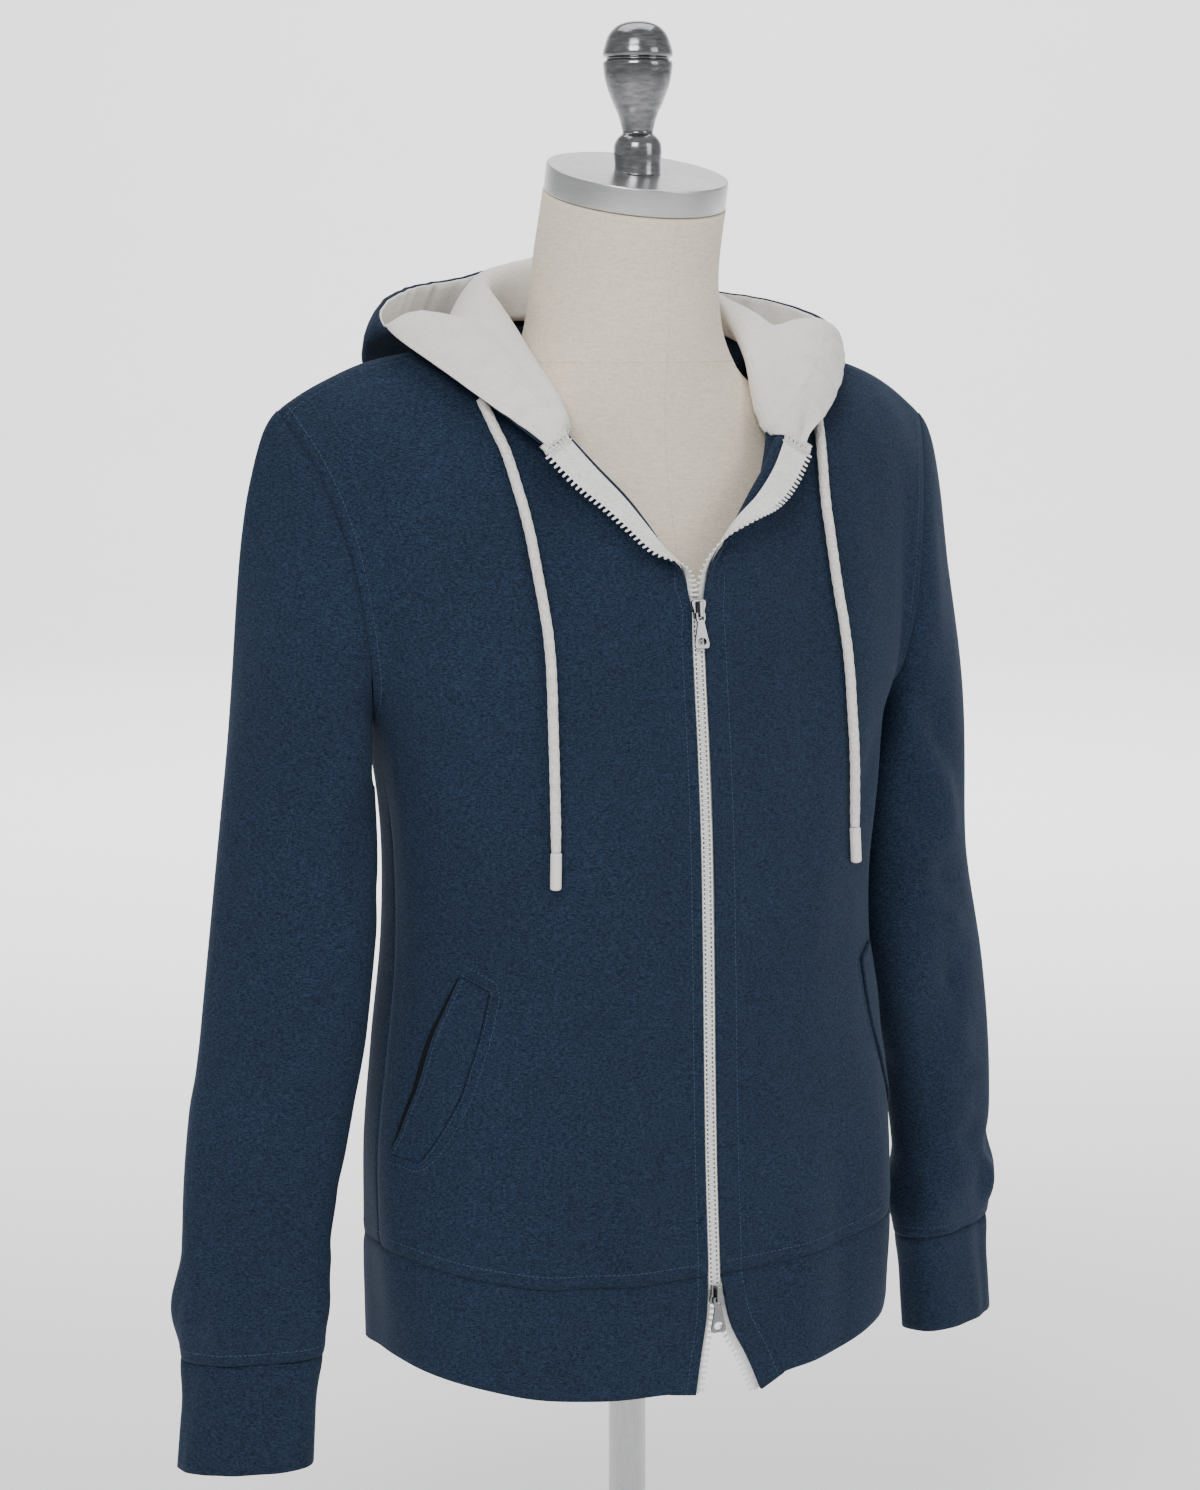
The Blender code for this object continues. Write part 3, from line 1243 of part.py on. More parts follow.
# ---------------------------------------------------------------------- run
for old in list(bpy.data.objects):
    bpy.data.objects.remove(old, do_unlink=True)
SWEATER = bpy.data.collections.new("zip_hooded_sweater")
CUTTERS = bpy.data.collections.new("cutters")
bpy.context.scene.collection.children.link(SWEATER)
bpy.context.scene.collection.children.link(CUTTERS)

build()
build_zip()
build_form()
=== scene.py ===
"""Looks of the zip-up hooded sweater on its dress form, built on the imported
frame. Metres, +Z up, the sweater faces -Y and the wearer's left is +X.

Every piece of cloth is worked out again from the sweater's own size tables,
finer than the solids, with its soft folds, seams, stitches and zip teeth.
"""
from math import pi, sin, cos, tan, atan, radians

import bmesh
import bpy
import numpy as np
from mathutils import Matrix, Vector
from mathutils.bvhtree import BVHTree


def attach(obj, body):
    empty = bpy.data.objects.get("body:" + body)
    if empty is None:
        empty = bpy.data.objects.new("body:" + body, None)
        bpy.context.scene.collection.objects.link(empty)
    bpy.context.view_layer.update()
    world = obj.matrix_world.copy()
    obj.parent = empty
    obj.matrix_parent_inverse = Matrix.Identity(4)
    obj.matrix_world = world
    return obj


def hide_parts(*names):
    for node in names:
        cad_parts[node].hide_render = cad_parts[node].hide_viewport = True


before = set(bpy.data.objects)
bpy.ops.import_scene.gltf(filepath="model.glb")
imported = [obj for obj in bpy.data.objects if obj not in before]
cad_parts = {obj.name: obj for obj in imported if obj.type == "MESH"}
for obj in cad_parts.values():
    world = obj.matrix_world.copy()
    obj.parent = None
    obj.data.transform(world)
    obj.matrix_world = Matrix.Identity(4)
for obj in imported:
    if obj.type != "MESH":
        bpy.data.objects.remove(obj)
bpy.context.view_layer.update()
BODY_NAME = "sweater"
SCENE = bpy.context.scene

# ------------------------------------------------------------------ camera
cam_data = bpy.data.cameras.new("camera")
cam_data.lens = 3718 * 36 / 1490
cam_data.sensor_width = 36
cam_data.clip_start, cam_data.clip_end = 0.05, 60
camera = bpy.data.objects.new("camera", cam_data)
AZ, DIST, EYE = radians(28.0), 2.45, 0.946
camera.location = (-sin(AZ) * DIST, -cos(AZ) * DIST, EYE)
camera.rotation_euler = (radians(90 - 7.10), 0, -(AZ - radians(0.4315)))
SCENE.collection.objects.link(camera)
SCENE.camera = camera

# ---------------------------------------------- the sweater's sizes (m)

WALL = 0.0018          # outer jersey
LINING = 0.0014        # hood lining
BAND_WALL = 0.0024     # hem band and cuffs, doubled cloth
TAPE = 0.0009          # zip tape
GAP = 0.0003           # between neighbouring pieces
TAPE_GAP = 0.0008      # between the cloth and the tape behind it
LINING_GAP = 0.0006    # between the hood's cloth and its lining
SEAM = 0.0003          # between two pieces at a seam

HEM_Z = 0.236          # lower edge of the hem band at the front
BAND_Z = 0.3085        # seam of the hem band at the front
CHEST_Z = 0.660        # level of the armpits
NECK_Z = 0.845         # top of the front edges
LEAN = (               # the shoulders sit higher on the right, the hem lower
    # z      drop per metre towards the left
    (0.180, -0.045), (0.240, -0.045), (0.310, -0.030), (0.450, 0.000),
    (0.600,  0.012), (0.680,  0.020), (1.100, 0.020),
)

EDGE_X = 0.005         # half the strip of zip that shows when it is closed
MARGIN = 0.022         # cloth along the front edge that can turn out
TURN_R = 0.0022        # radius of the turned-out edge
TAPE_OUT = 0.0035      # tape and teeth standing out past the cloth's edge

SLIDER_TOP_Z = 0.745   # top of the upper slider
SLIDER_LOW_Z = 0.291   # bottom of the lower slider
SLIDER_H = 0.0125
CHAIN_W = 0.0058
CHAIN_T = 0.0022

CORD_D = 0.0066
TIP_D = 0.0072
TIP_L = 0.024

POLE_R = 0.0125
BASE_R = 0.170
BASE_H = 0.022

# ------------------------------------------------- body of the sweater
# height at the centre front and at the side seam, half width, front and back
# depth, depth of the side seam
BODY = (
    # z_in    z_side  half_w  front    back    side_y
    (0.236,  0.2625, 0.1840, -0.1225, 0.1130, -0.004),
    (0.3085, 0.3290, 0.1865, -0.1200, 0.1150, -0.004),
    (0.360,  0.372,  0.1860, -0.1165, 0.1140, -0.004),
    (0.420,  0.424,  0.1810, -0.1140, 0.1100, -0.003),
    (0.470,  0.472,  0.1745, -0.1120, 0.1040, -0.002),
    (0.525,  0.525,  0.1705, -0.1105, 0.1000, -0.001),
    (0.580,  0.580,  0.1725, -0.1085, 0.1010,  0.000),
    (0.630,  0.630,  0.1780, -0.1050, 0.1060,  0.001),
    (0.660,  0.662,  0.1850, -0.1020, 0.1095,  0.002),
)
ROUND = 2.3            # exponent of the body's rings
SAG = 3.2              # exponent of the hem's rise towards the side seams

# inner line of the front's margin: distance from the centre, depth, width that
# turns out, and how far it turns on the wearer's right and left (degrees)
EDGE = (
    # z      x_right  x_left   y       flap    turn_r  turn_l
    (0.236,  0.0370,  0.0540, -0.1225, 0.0,    0.0,    0.0),
    (0.262,  0.0325,  0.0430, -0.1213, 0.0,    0.0,    0.0),
    (0.284,  0.0285,  0.0320, -0.1205, 0.0,    0.0,    0.0),
    (0.300,  0.0270,  0.0270, -0.1202, 0.0,    0.0,    0.0),
    (0.360,  0.0270,  0.0270, -0.1160, 0.0,    0.0,    0.0),
    (0.420,  0.0270,  0.0270, -0.1135, 0.0,    0.0,    0.0),
    (0.470,  0.0270,  0.0270, -0.1115, 0.0,    0.0,    0.0),
    (0.525,  0.0270,  0.0270, -0.1100, 0.0,    0.0,    0.0),
    (0.580,  0.0270,  0.0270, -0.1078, 0.0,    0.0,    0.0),
    (0.630,  0.0270,  0.0270, -0.1045, 0.0,    0.0,    0.0),
    (0.660,  0.0270,  0.0270, -0.1012, 0.0,    0.0,    0.0),
    (0.700,  0.0270,  0.0270, -0.0965, 0.0,    0.0,    0.0),
    (0.746,  0.0270,  0.0270, -0.0915, 0.0,    0.0,    0.0),
    (0.757,  0.0290,  0.0290, -0.0898, 0.0055, 85.0,   35.0),
    (0.772,  0.0345,  0.0345, -0.0868, 0.0090, 150.0,  60.0),
    (0.789,  0.0425,  0.0425, -0.0835, 0.0115, 165.0,  105.0),
    (0.805,  0.0510,  0.0510, -0.0790, 0.0140, 170.0,  155.0),
    (0.819,  0.0600,  0.0600, -0.0740, 0.0165, 170.0,  168.0),
    (0.832,  0.0700,  0.0700, -0.0680, 0.0180, 170.0,  170.0),
    (0.845,  0.0785,  0.0785, -0.0610, 0.0190, 170.0,  170.0),
)

# how far the cloth runs back, per unit towards the side, beside the margin
EDGE_AHEAD = ((0.236, 0.05), (0.660, 0.09), (0.745, 0.12), (0.780, 0.20),
              (0.810, 0.27), (0.845, 0.30))

# armhole, from the armpit up to the shoulder's tip
ARMHOLE = (
    # z      x_front  y_front  x_back   y_back
    (0.662,  0.1850,  0.002,   0.1850,  0.002),
    (0.668,  0.1900, -0.014,   0.1900,  0.018),
    (0.700,  0.1990, -0.030,   0.1975,  0.042),
    (0.732,  0.2050, -0.035,   0.2015,  0.055),
    (0.766,  0.2110, -0.032,   0.2055,  0.060),
    (0.800,  0.2190, -0.021,   0.2130,  0.057),
    (0.832,  0.2290, -0.004,   0.2240,  0.047),
    (0.862,  0.2410,  0.023,   0.2410,  0.023),
)

YOKE_FRONT = (0.0, -0.007, 0.008)      # how far the yokes round outwards
YOKE_BACK = (0.0, 0.006, 0.006)

# neck seam, from the front margin round to the centre back, then the shoulder
# seam from the neck out to the tip
NECKLINE = (
    # x      y       z
    (0.0785, -0.061, 0.845),
    (0.0835, -0.043, 0.861),
    (0.0920, -0.019, 0.883),
    (0.0985,  0.005, 0.904),
    (0.0930,  0.034, 0.912),
    (0.0730,  0.059, 0.916),
    (0.0400,  0.075, 0.917),
    (0.0000,  0.080, 0.917),
)
SHOULDER = (
    # x      y       z
    (0.0985,  0.005, 0.904),
    (0.1400,  0.008, 0.901),
    (0.1780,  0.013, 0.893),
    (0.2140,  0.018, 0.879),
    (0.2410,  0.023, 0.862),
)

# sleeve rings below the armpit: height, centre, half sizes across and through,
# turn of the flattened ring about the vertical (degrees)
SLEEVE = (
    # z      x       y       major   minor   turn
    (0.615,  0.2310,  0.0140, 0.0500, 0.0310, -28.0),
    (0.540,  0.2345,  0.0150, 0.0535, 0.0315, -28.0),
    (0.470,  0.2430,  0.0145, 0.0540, 0.0315, -28.0),
    (0.400,  0.2540,  0.0160, 0.0505, 0.0295, -28.0),
    (0.340,  0.2615,  0.0180, 0.0483, 0.0275, -28.0),
    (0.300,  0.2640,  0.0195, 0.0490, 0.0275, -28.0),
    (0.270,  0.2650,  0.0207, 0.0500, 0.0265, -28.0),
)
CUFF = (
    # drop   half_major  half_minor
    (0.000,  0.0470,     0.0250),
    (0.020,  0.0452,     0.0245),
    (0.071,  0.0448,     0.0250),
)
CUFF_SHIFT = (0.0050, 0.0010)          # the cuff's foot against its seam
SLEEVE_DROP = {-1: 0.004, 1: -0.001}

# hood lying open on the shoulders, one row for each section from the front
# corner to the centre back: the neck seam is the NECKLINE above; crest round
# the neck, the sheet beside it, its valley, the ridge (behind the shoulders:
# the two low points of the bag), the outside, and the rim of the opening
HOOD_LIFT = 0.0012     # from the neck seam to the hood's own edge
HOOD = (
    # crest                   beside                    valley                    ridge                     outside                   rim
    (0.0740, -0.0440, 0.8660, 0.0790, -0.0480, 0.8685,  0.0860, -0.0510, 0.8665,  0.0960, -0.0530, 0.8675,  0.1070, -0.0540, 0.8640,  0.1120, -0.0530, 0.8560),
    (0.0815, -0.0190, 0.8960, 0.0900, -0.0200, 0.9010,  0.1020, -0.0220, 0.9000,  0.1180, -0.0250, 0.9030,  0.1350, -0.0280, 0.8960,  0.1420, -0.0280, 0.8840),
    (0.0827,  0.0060, 0.9185, 0.0960,  0.0070, 0.9250,  0.1130,  0.0060, 0.9160,  0.1340,  0.0060, 0.9220,  0.1570,  0.0050, 0.9200,  0.1652,  0.0060, 0.9080),
    (0.0820,  0.0330, 0.9410, 0.0960,  0.0400, 0.9340,  0.1160,  0.0520, 0.9060,  0.1440,  0.0540, 0.9030,  0.1800,  0.0280, 0.9040,  0.1670,  0.0310, 0.9250),
    (0.0660,  0.0600, 0.9620, 0.0810,  0.0770, 0.9320,  0.0960,  0.1080, 0.8400,  0.1220,  0.1180, 0.8420,  0.1430,  0.0880, 0.8850,  0.1330,  0.0660, 0.9395),
    (0.0360,  0.0770, 0.9740, 0.0430,  0.0960, 0.9340,  0.0540,  0.1270, 0.7800,  0.0720,  0.1500, 0.7760,  0.0880,  0.1450, 0.8550,  0.0770,  0.1080, 0.9475),
    (0.0000,  0.0830, 0.9770, 0.0000,  0.1020, 0.9340,  0.0000,  0.1270, 0.7600,  0.0000,  0.1560, 0.7540,  0.0000,  0.1660, 0.8450,  0.0000,  0.1250, 0.9640),
)

# pocket welt on the front: five lines across it, from the slit to the seam
POCKET = (
    # slit z  x       seam z  x
    (0.5058, 0.1527, 0.4973, 0.1389),
    (0.4687, 0.1638, 0.4640, 0.1460),
    (0.4426, 0.1703, 0.4310, 0.1558),
    (0.4140, 0.1771, 0.4020, 0.1670),
    (0.3833, 0.1830, 0.3814, 0.1757),
)
WELT = 0.0016

# drawcord: height, distance from the centre on the right and on the left
CORD = (
    # z      x_right  x_left
    (0.8700, 0.1219,  0.1240),
    (0.8590, 0.1192,  0.1217),
    (0.8494, 0.1169,  0.1198),
    (0.8388, 0.1141,  0.1178),
    (0.8201, 0.1114,  0.1148),
    (0.8015, 0.1090,  0.1131),
    (0.7604, 0.1054,  0.1130),
    (0.7193, 0.1023,  0.1153),
    (0.6775, 0.1018,  0.1172),
    (0.6358, 0.1014,  0.1201),
    (0.5905, 0.1012,  0.1214),
    (0.5650, 0.1015,  0.1238),
)
CORD_CLEAR = 0.0007    # between the cord and the cloth it hangs on

# zip slider and its pull tab
PLATE_T = 0.0016       # slider's front plate
REAR_T = 0.0011        # slider's back plate
SLIDER_WIDE = 0.0105
SLIDER_NARROW = 0.0080
ARCH_W = 0.0030        # raised arch that holds the pull tab
ARCH_GAP = 0.0020
ARCH_T = 0.0012
LEG_H = 0.0016
PULL_T = 0.0012
PULL_L = 0.0225        # from the hinge to the foot
PULL_TURN = 120.0      # how far the tab can swing up, degrees

# dress form: height, half width, front and back depth, exponent
FORM = (
    # z      half_w  front    back    round
    (0.285,  0.1500, -0.0960, 0.0900, 2.3),
    (0.330,  0.1580, -0.0990, 0.0960, 2.3),
    (0.400,  0.1580, -0.0985, 0.0960, 2.3),
    (0.470,  0.1500, -0.0960, 0.0890, 2.3),
    (0.530,  0.1450, -0.0950, 0.0840, 2.3),
    (0.600,  0.1520, -0.0930, 0.0870, 2.3),
    (0.660,  0.1650, -0.0880, 0.0940, 2.3),
    (0.720,  0.1790, -0.0790, 0.0940, 2.3),
    (0.765,  0.1800, -0.0690, 0.0850, 2.0),
    (0.795,  0.1760, -0.0610, 0.0780, 1.85),
    (0.820,  0.1660, -0.0550, 0.0710, 1.75),
    (0.840,  0.1480, -0.0515, 0.0690, 1.7),
    (0.858,  0.1240, -0.0505, 0.0680, 1.75),
    (0.874,  0.1000, -0.0510, 0.0680, 1.8),
    (0.890,  0.0800, -0.0525, 0.0675, 1.9),
    (0.920,  0.0650, -0.0555, 0.0690, 2.0),
    (0.950,  0.0612, -0.0570, 0.0660, 2.0),
    (0.985,  0.0598, -0.0640, 0.0560, 2.0),
    (1.000,  0.0595, -0.0680, 0.0510, 2.0),
)
CAP_TILT = 14.0        # the neck's top slopes down to the front, degrees
CAP_R = 0.0595
CAP_H = 0.0175
NECK_TOP = 1.000       # middle of the neck's top
NECK_Y = -0.0085

# turned knob on the neck cap: height above its foot, radius
KNOB = (
    (0.0955, 0.0000), (0.0950, 0.0070), (0.0922, 0.0140), (0.0875, 0.0185),
    (0.0810, 0.0212), (0.0730, 0.0222), (0.0712, 0.0205), (0.0694, 0.0222),
    (0.0640, 0.0222), (0.0550, 0.0205), (0.0440, 0.0165), (0.0340, 0.0122),
    (0.0275, 0.0105), (0.0240, 0.0100), (0.0215, 0.0125), (0.0175, 0.0150),
    (0.0110, 0.0155), (0.0050, 0.0150), (-0.0080, 0.0150),
)
# resolution of the solids
N_MARGIN = 6
N_NECK_F = 3
N_NECK_B = 4
N_SHOULDER = 6
N_LOW = 5
YOKE_ROWS = (0.0, 0.16, 0.32, 0.45, 0.53, 0.61, 0.695, 0.79, 0.89, 1.0)
N_HIGH = len(YOKE_ROWS) - 1
N_HEAD = 7             # rings of the sleeve's head, then below it
N_ARM = 6
N_HOOD = 11            # across the hood, then round it
N_HOOD_F = 6
N_HOOD_B = 7




def slopes(x, y):
    """Slopes of a smooth curve that never runs past its table's values."""
    h = np.diff(x)
    s = np.diff(y, axis=0) / h[:, None]
    d = np.zeros_like(y)
    for k in range(1, len(x) - 1):
        w1, w2 = 2 * h[k] + h[k - 1], h[k] + 2 * h[k - 1]
        a, b = s[k - 1], s[k]
        ok = a * b > 0
        safe_a, safe_b = np.where(ok, a, 1.0), np.where(ok, b, 1.0)
        d[k] = np.where(ok, (w1 + w2) / (w1 / safe_a + w2 / safe_b), 0.0)
    d[0], d[-1] = s[0], s[-1]
    return d


def free_slopes(x, y):
    """Slopes of a curve through points in space."""
    h = np.diff(x)
    s = np.diff(y, axis=0) / h[:, None]
    d = np.zeros_like(y)
    d[0], d[-1] = s[0], s[-1]
    for k in range(1, len(x) - 1):
        d[k] = (s[k - 1] * h[k] + s[k] * h[k - 1]) / (h[k] + h[k - 1])
    return d


def read(x, y, t, free=False):
    """Values of the table y(x) at t."""
    x, y = np.asarray(x, float), np.asarray(y, float)
    flat = y.ndim == 1
    if flat:
        y = y[:, None]
    d = (free_slopes if free else slopes)(x, y)
    t = np.clip(np.atleast_1d(np.asarray(t, float)), x[0], x[-1])
    k = np.clip(np.searchsorted(x, t, side="right") - 1, 0, len(x) - 2)
    h = (x[k + 1] - x[k])[:, None]
    u = ((t - x[k]) / (x[k + 1] - x[k]))[:, None]
    out = ((2 * u**3 - 3 * u**2 + 1) * y[k] + (u**3 - 2 * u**2 + u) * h * d[k]
           + (-2 * u**3 + 3 * u**2) * y[k + 1] + (u**3 - u**2) * h * d[k + 1])
    return out[:, 0] if flat else out


def table(rows, t):
    """Row of a table read at its first column."""
    rows = np.array(rows, float)
    return read(rows[:, 0], rows[:, 1:], t)


def along(points, t):
    """Points at fractions t of a polyline's length."""
    points = np.asarray(points, float)
    s = np.concatenate([[0.0], np.cumsum(np.linalg.norm(np.diff(points, axis=0), axis=1))])
    t = np.atleast_1d(t) * s[-1]
    return np.stack([np.interp(t, s, points[:, k]) for k in range(3)], axis=1)


def smooth_path(points, t):
    """Points at fractions t of a smooth curve through a few points."""
    points = np.asarray(points, float)
    s = np.concatenate([[0.0], np.cumsum(np.linalg.norm(np.diff(points, axis=0), axis=1))])
    dense = read(s, points, np.linspace(0, s[-1], 24 * len(points)), free=True)
    return along(dense, t)


def unit(v):
    v = np.asarray(v, float)
    return v / np.maximum(np.linalg.norm(v, axis=-1, keepdims=True), 1e-12)


def lean(points):
    """The slight lean of the whole sweater on the form."""
    points = np.array(points, float)
    t = np.array(LEAN)
    points[..., 2] -= np.interp(points[..., 2], t[:, 0], t[:, 1]) * points[..., 0]
    return points


def edge(side, z):
    """The front's margin at height z: root point, then flap and turn."""
    x_r, x_l, y, flap, turn_r, turn_l = table(EDGE, z)[0]
    x = x_r if side < 0 else x_l
    return np.array([x, y, z]), flap, radians(turn_r if side < 0 else turn_l)


def edge_ahead(z):
    """Direction in which the cloth runs from the margin towards the side."""
    t = np.array(EDGE_AHEAD)
    return unit(np.array([1.0, np.interp(z, t[:, 0], t[:, 1]), 0.0]))


def edge_frame(side, z, ahead):
    """Directions of the margin: out towards the side, and off the cloth."""
    lo, hi = max(HEM_Z, z - 0.004), min(NECK_Z, z + 0.004)
    run = unit(edge(side, hi)[0] - edge(side, lo)[0])
    out = unit(ahead - np.dot(ahead, run) * run)
    return out, unit(np.cross(out, run))


def margin_point(side, z, s, ahead, lift=0.0):
    """Point of the margin at distance s from its root; lift is off the face."""
    root, flap, turn = edge(side, z)
    out, off = edge_frame(side, z, ahead)
    bend = TURN_R * turn
    start = max(MARGIN - flap - 0.5 * bend, 0.0) if turn > 0.01 else 1e9
    if s <= start:
        a, e, n = 0.0, -s, 0.0
    elif s <= start + bend:
        a = (s - start) / TURN_R
        e, n = -start - TURN_R * sin(a), TURN_R * (1 - cos(a))
    else:
        a, d = turn, s - start - bend
        e = -start - TURN_R * sin(a) - d * cos(a)
        n = TURN_R * (1 - cos(a)) + d * sin(a)
    face = off * cos(a) + out * sin(a)
    return root + out * e + off * n + face * lift


def margin(side, z, distances, ahead, lift=0.0):
    return np.array([margin_point(side, z, s, ahead, lift) for s in distances])


def ring_arc(z, front, start=0.0):
    """Quarter of a body ring from the centre (or x = start) to the side."""
    z_side, half, y_front, y_back, y_side = table(BODY, z)[0]
    y0 = y_front if front else y_back
    t = np.linspace(0, pi / 2, 241)
    x = half * np.sin(t) ** (2 / ROUND)
    y = y_side + (y0 - y_side) * np.cos(t) ** (2 / ROUND)
    pts = np.stack([x, y, z + (z_side - z) * (x / half) ** SAG], axis=1)
    if start > 0:
        keep = x > start
        first = [start, np.interp(start, x, y), np.interp(start, x, pts[:, 2])]
        pts = np.vstack([[first], pts[keep]])
    return pts


def armhole(front, t):
    a = np.array(ARMHOLE)
    cols = [1, 2, 0] if front else [3, 4, 0]
    return smooth_path(a[:, cols], t)


def neck_path(t):
    """Neck seam from the front corner (0) over the shoulder seam (N_NECK_F)
    to the centre back (N_NECK_F + N_NECK_B), counted in the table's rows."""
    n = np.array(NECKLINE)
    return read(np.arange(len(n)), n, t, free=True)


def shoulder_path(t):
    return smooth_path(SHOULDER, t)


def top_edge(front, n_neck, n_shoulder):
    """Upper edge of a front or of half the back: neck seam, then shoulder."""
    if front:
        neck = neck_path(np.linspace(0, N_NECK_F, n_neck + 1))
    else:
        neck = neck_path(np.linspace(N_NECK_F + N_NECK_B, N_NECK_F, n_neck + 1))
    return np.vstack([neck, shoulder_path(np.linspace(0, 1, n_shoulder + 1))[1:]])


def panel(front, side, n_neck, n_shoulder, n_low, n_high, x_in):
    """Grid [row][column] of a front's body or of half the back, x positive."""
    n = n_neck + n_shoulder
    u = np.linspace(0, 1, n + 1)
    rows, tangents = [], None
    for z in np.linspace(BAND_Z, CHEST_Z, n_low + 1):
        start = edge(side, z)[0][0] if front else x_in
        arc = along(ring_arc(z, front, start), u)
        if front:
            shift = edge(side, z)[0] - arc[0]
            arc = arc + shift * ((1 - u) ** 3)[:, None]
        rows.append(arc)
    bottom = rows[-1]
    step = (rows[-1] - rows[-2]) / np.linalg.norm(rows[-1] - rows[-2], axis=1)[:, None]
    top = top_edge(front, n_neck, n_shoulder)
    v = yoke_rows(n_high)
    if front:
        inner = np.array([edge(side, z)[0] for z in CHEST_Z + (NECK_Z - CHEST_Z) * v])
    else:
        back = np.array(BODY)[-1]
        column = [(0, back[4], CHEST_Z), (0, 0.1110, 0.720), (0, 0.1090, 0.790),
                  (0, 0.0990, 0.855), tuple(top[0])]
        inner = smooth_path(column, v)
    outer = armhole(front, v)
    height = np.linalg.norm(top - bottom, axis=1)
    up_in = (inner[1] - inner[0]) / v[1]
    up_out = (outer[1] - outer[0]) / v[1]
    for k in range(1, n_high + 1):
        w = v[k]
        ruled = (1 - w) * bottom + w * top
        cross = (1 - u)[:, None] * inner[k] + u[:, None] * outer[k]
        both = ((1 - u)[:, None] * ((1 - w) * inner[0] + w * inner[-1])
                + u[:, None] * ((1 - w) * outer[0] + w * outer[-1]))
        flat = ruled + cross - both
        # keep the chest's own slope as the sheet leaves the lower rings
        start = (top - bottom) + (1 - u)[:, None] * (up_in - (inner[-1] - inner[0])) \
            + u[:, None] * (up_out - (outer[-1] - outer[0]))
        blend = w * (1 - w) ** 2
        keep = np.sin(pi * u)[:, None] ** 0.5
        # the yoke's own roundness, over the collar bones and shoulder blades
        round_up = w ** 3 * (1 - w) * 9.48 * np.sin(pi * u ** 0.8)[:, None]
        full = np.array(YOKE_FRONT if front else YOKE_BACK)
        rows.append(flat + (step * height[:, None] - start) * blend * keep + full * round_up)
    return np.array(rows)


def yoke_rows(n_high):
    """Fractions of the way up at which the yoke has its rows, closer together
    where the front edge turns out."""
    rows = np.array(YOKE_ROWS)
    return np.interp(np.linspace(0, 1, n_high + 1), np.linspace(0, 1, len(rows)), rows)


def row_heights(n_low, n_high):
    low = np.linspace(BAND_Z, CHEST_Z, n_low + 1)
    return np.concatenate([low, CHEST_Z + (NECK_Z - CHEST_Z) * yoke_rows(n_high)[1:]])


def front_grid(side, n_margin=N_MARGIN, n_neck=N_NECK_F, n_shoulder=N_SHOULDER,
               n_low=N_LOW, n_high=N_HIGH):
    """Whole front: columns run from the zip edge through the margin's root to
    the side seam and armhole. x positive; mirrored later."""
    body = panel(True, side, n_neck, n_shoulder, n_low, n_high, 0.0)
    heights = row_heights(n_low, n_high)
    rows = []
    for z, row in zip(heights, body):
        rows.append(np.vstack([margin_row(side, z, row, n_margin), row[1:]]))
    return np.array(rows)


def margin_stops(side, z, n_margin):
    """Distances along the margin at which it has points, edge first."""
    _, flap, turn = edge(side, z)
    bend = TURN_R * turn
    start = MARGIN - flap - 0.5 * bend
    even = np.linspace(MARGIN, 0, n_margin + 1)
    if turn < 0.01:
        return even
    flat = n_margin // 3
    bent = np.concatenate([np.linspace(MARGIN, start + bend, flat + 1),
                           start + bend * np.linspace(1, 0, n_margin - flat)[1:], [0.0]])
    w = min(1.0, turn / 0.9)
    return even * (1 - w) + bent * w


def tape_stops(side, z, n_margin):
    """Distances at which the tape has points: the cloth's own, as far as the
    flap is flat, and one out past the cloth's edge."""
    stops = margin_stops(side, z, n_margin)[:n_margin // 3 + 1]
    stops[-1] += 0.0004
    return np.concatenate([[MARGIN + TAPE_OUT], stops])


def margin_row(side, z, row, n_margin):
    return margin(side, z, margin_stops(side, z, n_margin), edge_ahead(z))


def band_grid(side, n_margin, n_side, n_rows):
    """Half of the hem band's front, from its zip edge to the side seam."""
    rows = []
    for z in np.linspace(HEM_Z, BAND_Z, n_rows + 1):
        start = edge(side, z)[0][0]
        arc = along(ring_arc(z, True, start), np.linspace(0, 1, n_side + 1))
        u = np.linspace(0, 1, n_side + 1)
        arc = arc + (edge(side, z)[0] - arc[0]) * ((1 - u) ** 3)[:, None]
        rows.append(np.vstack([margin_row(side, z, arc, n_margin), arc[1:]]))
    return np.array(rows)


def sleeve_ring(z, x, y, major, minor, turn, count_angles):
    a = count_angles
    c, s = cos(radians(turn)), sin(radians(turn))
    e = major * np.sign(np.cos(a)) * np.abs(np.cos(a)) ** 0.9
    f = minor * np.sign(np.sin(a)) * np.abs(np.sin(a)) ** 0.9
    # e runs from the sleeve's outer fold (a = 0) to the underarm (a = pi)
    return np.stack([x + e * c - f * s, y - (e * s + f * c), np.full_like(a, z)], axis=1)


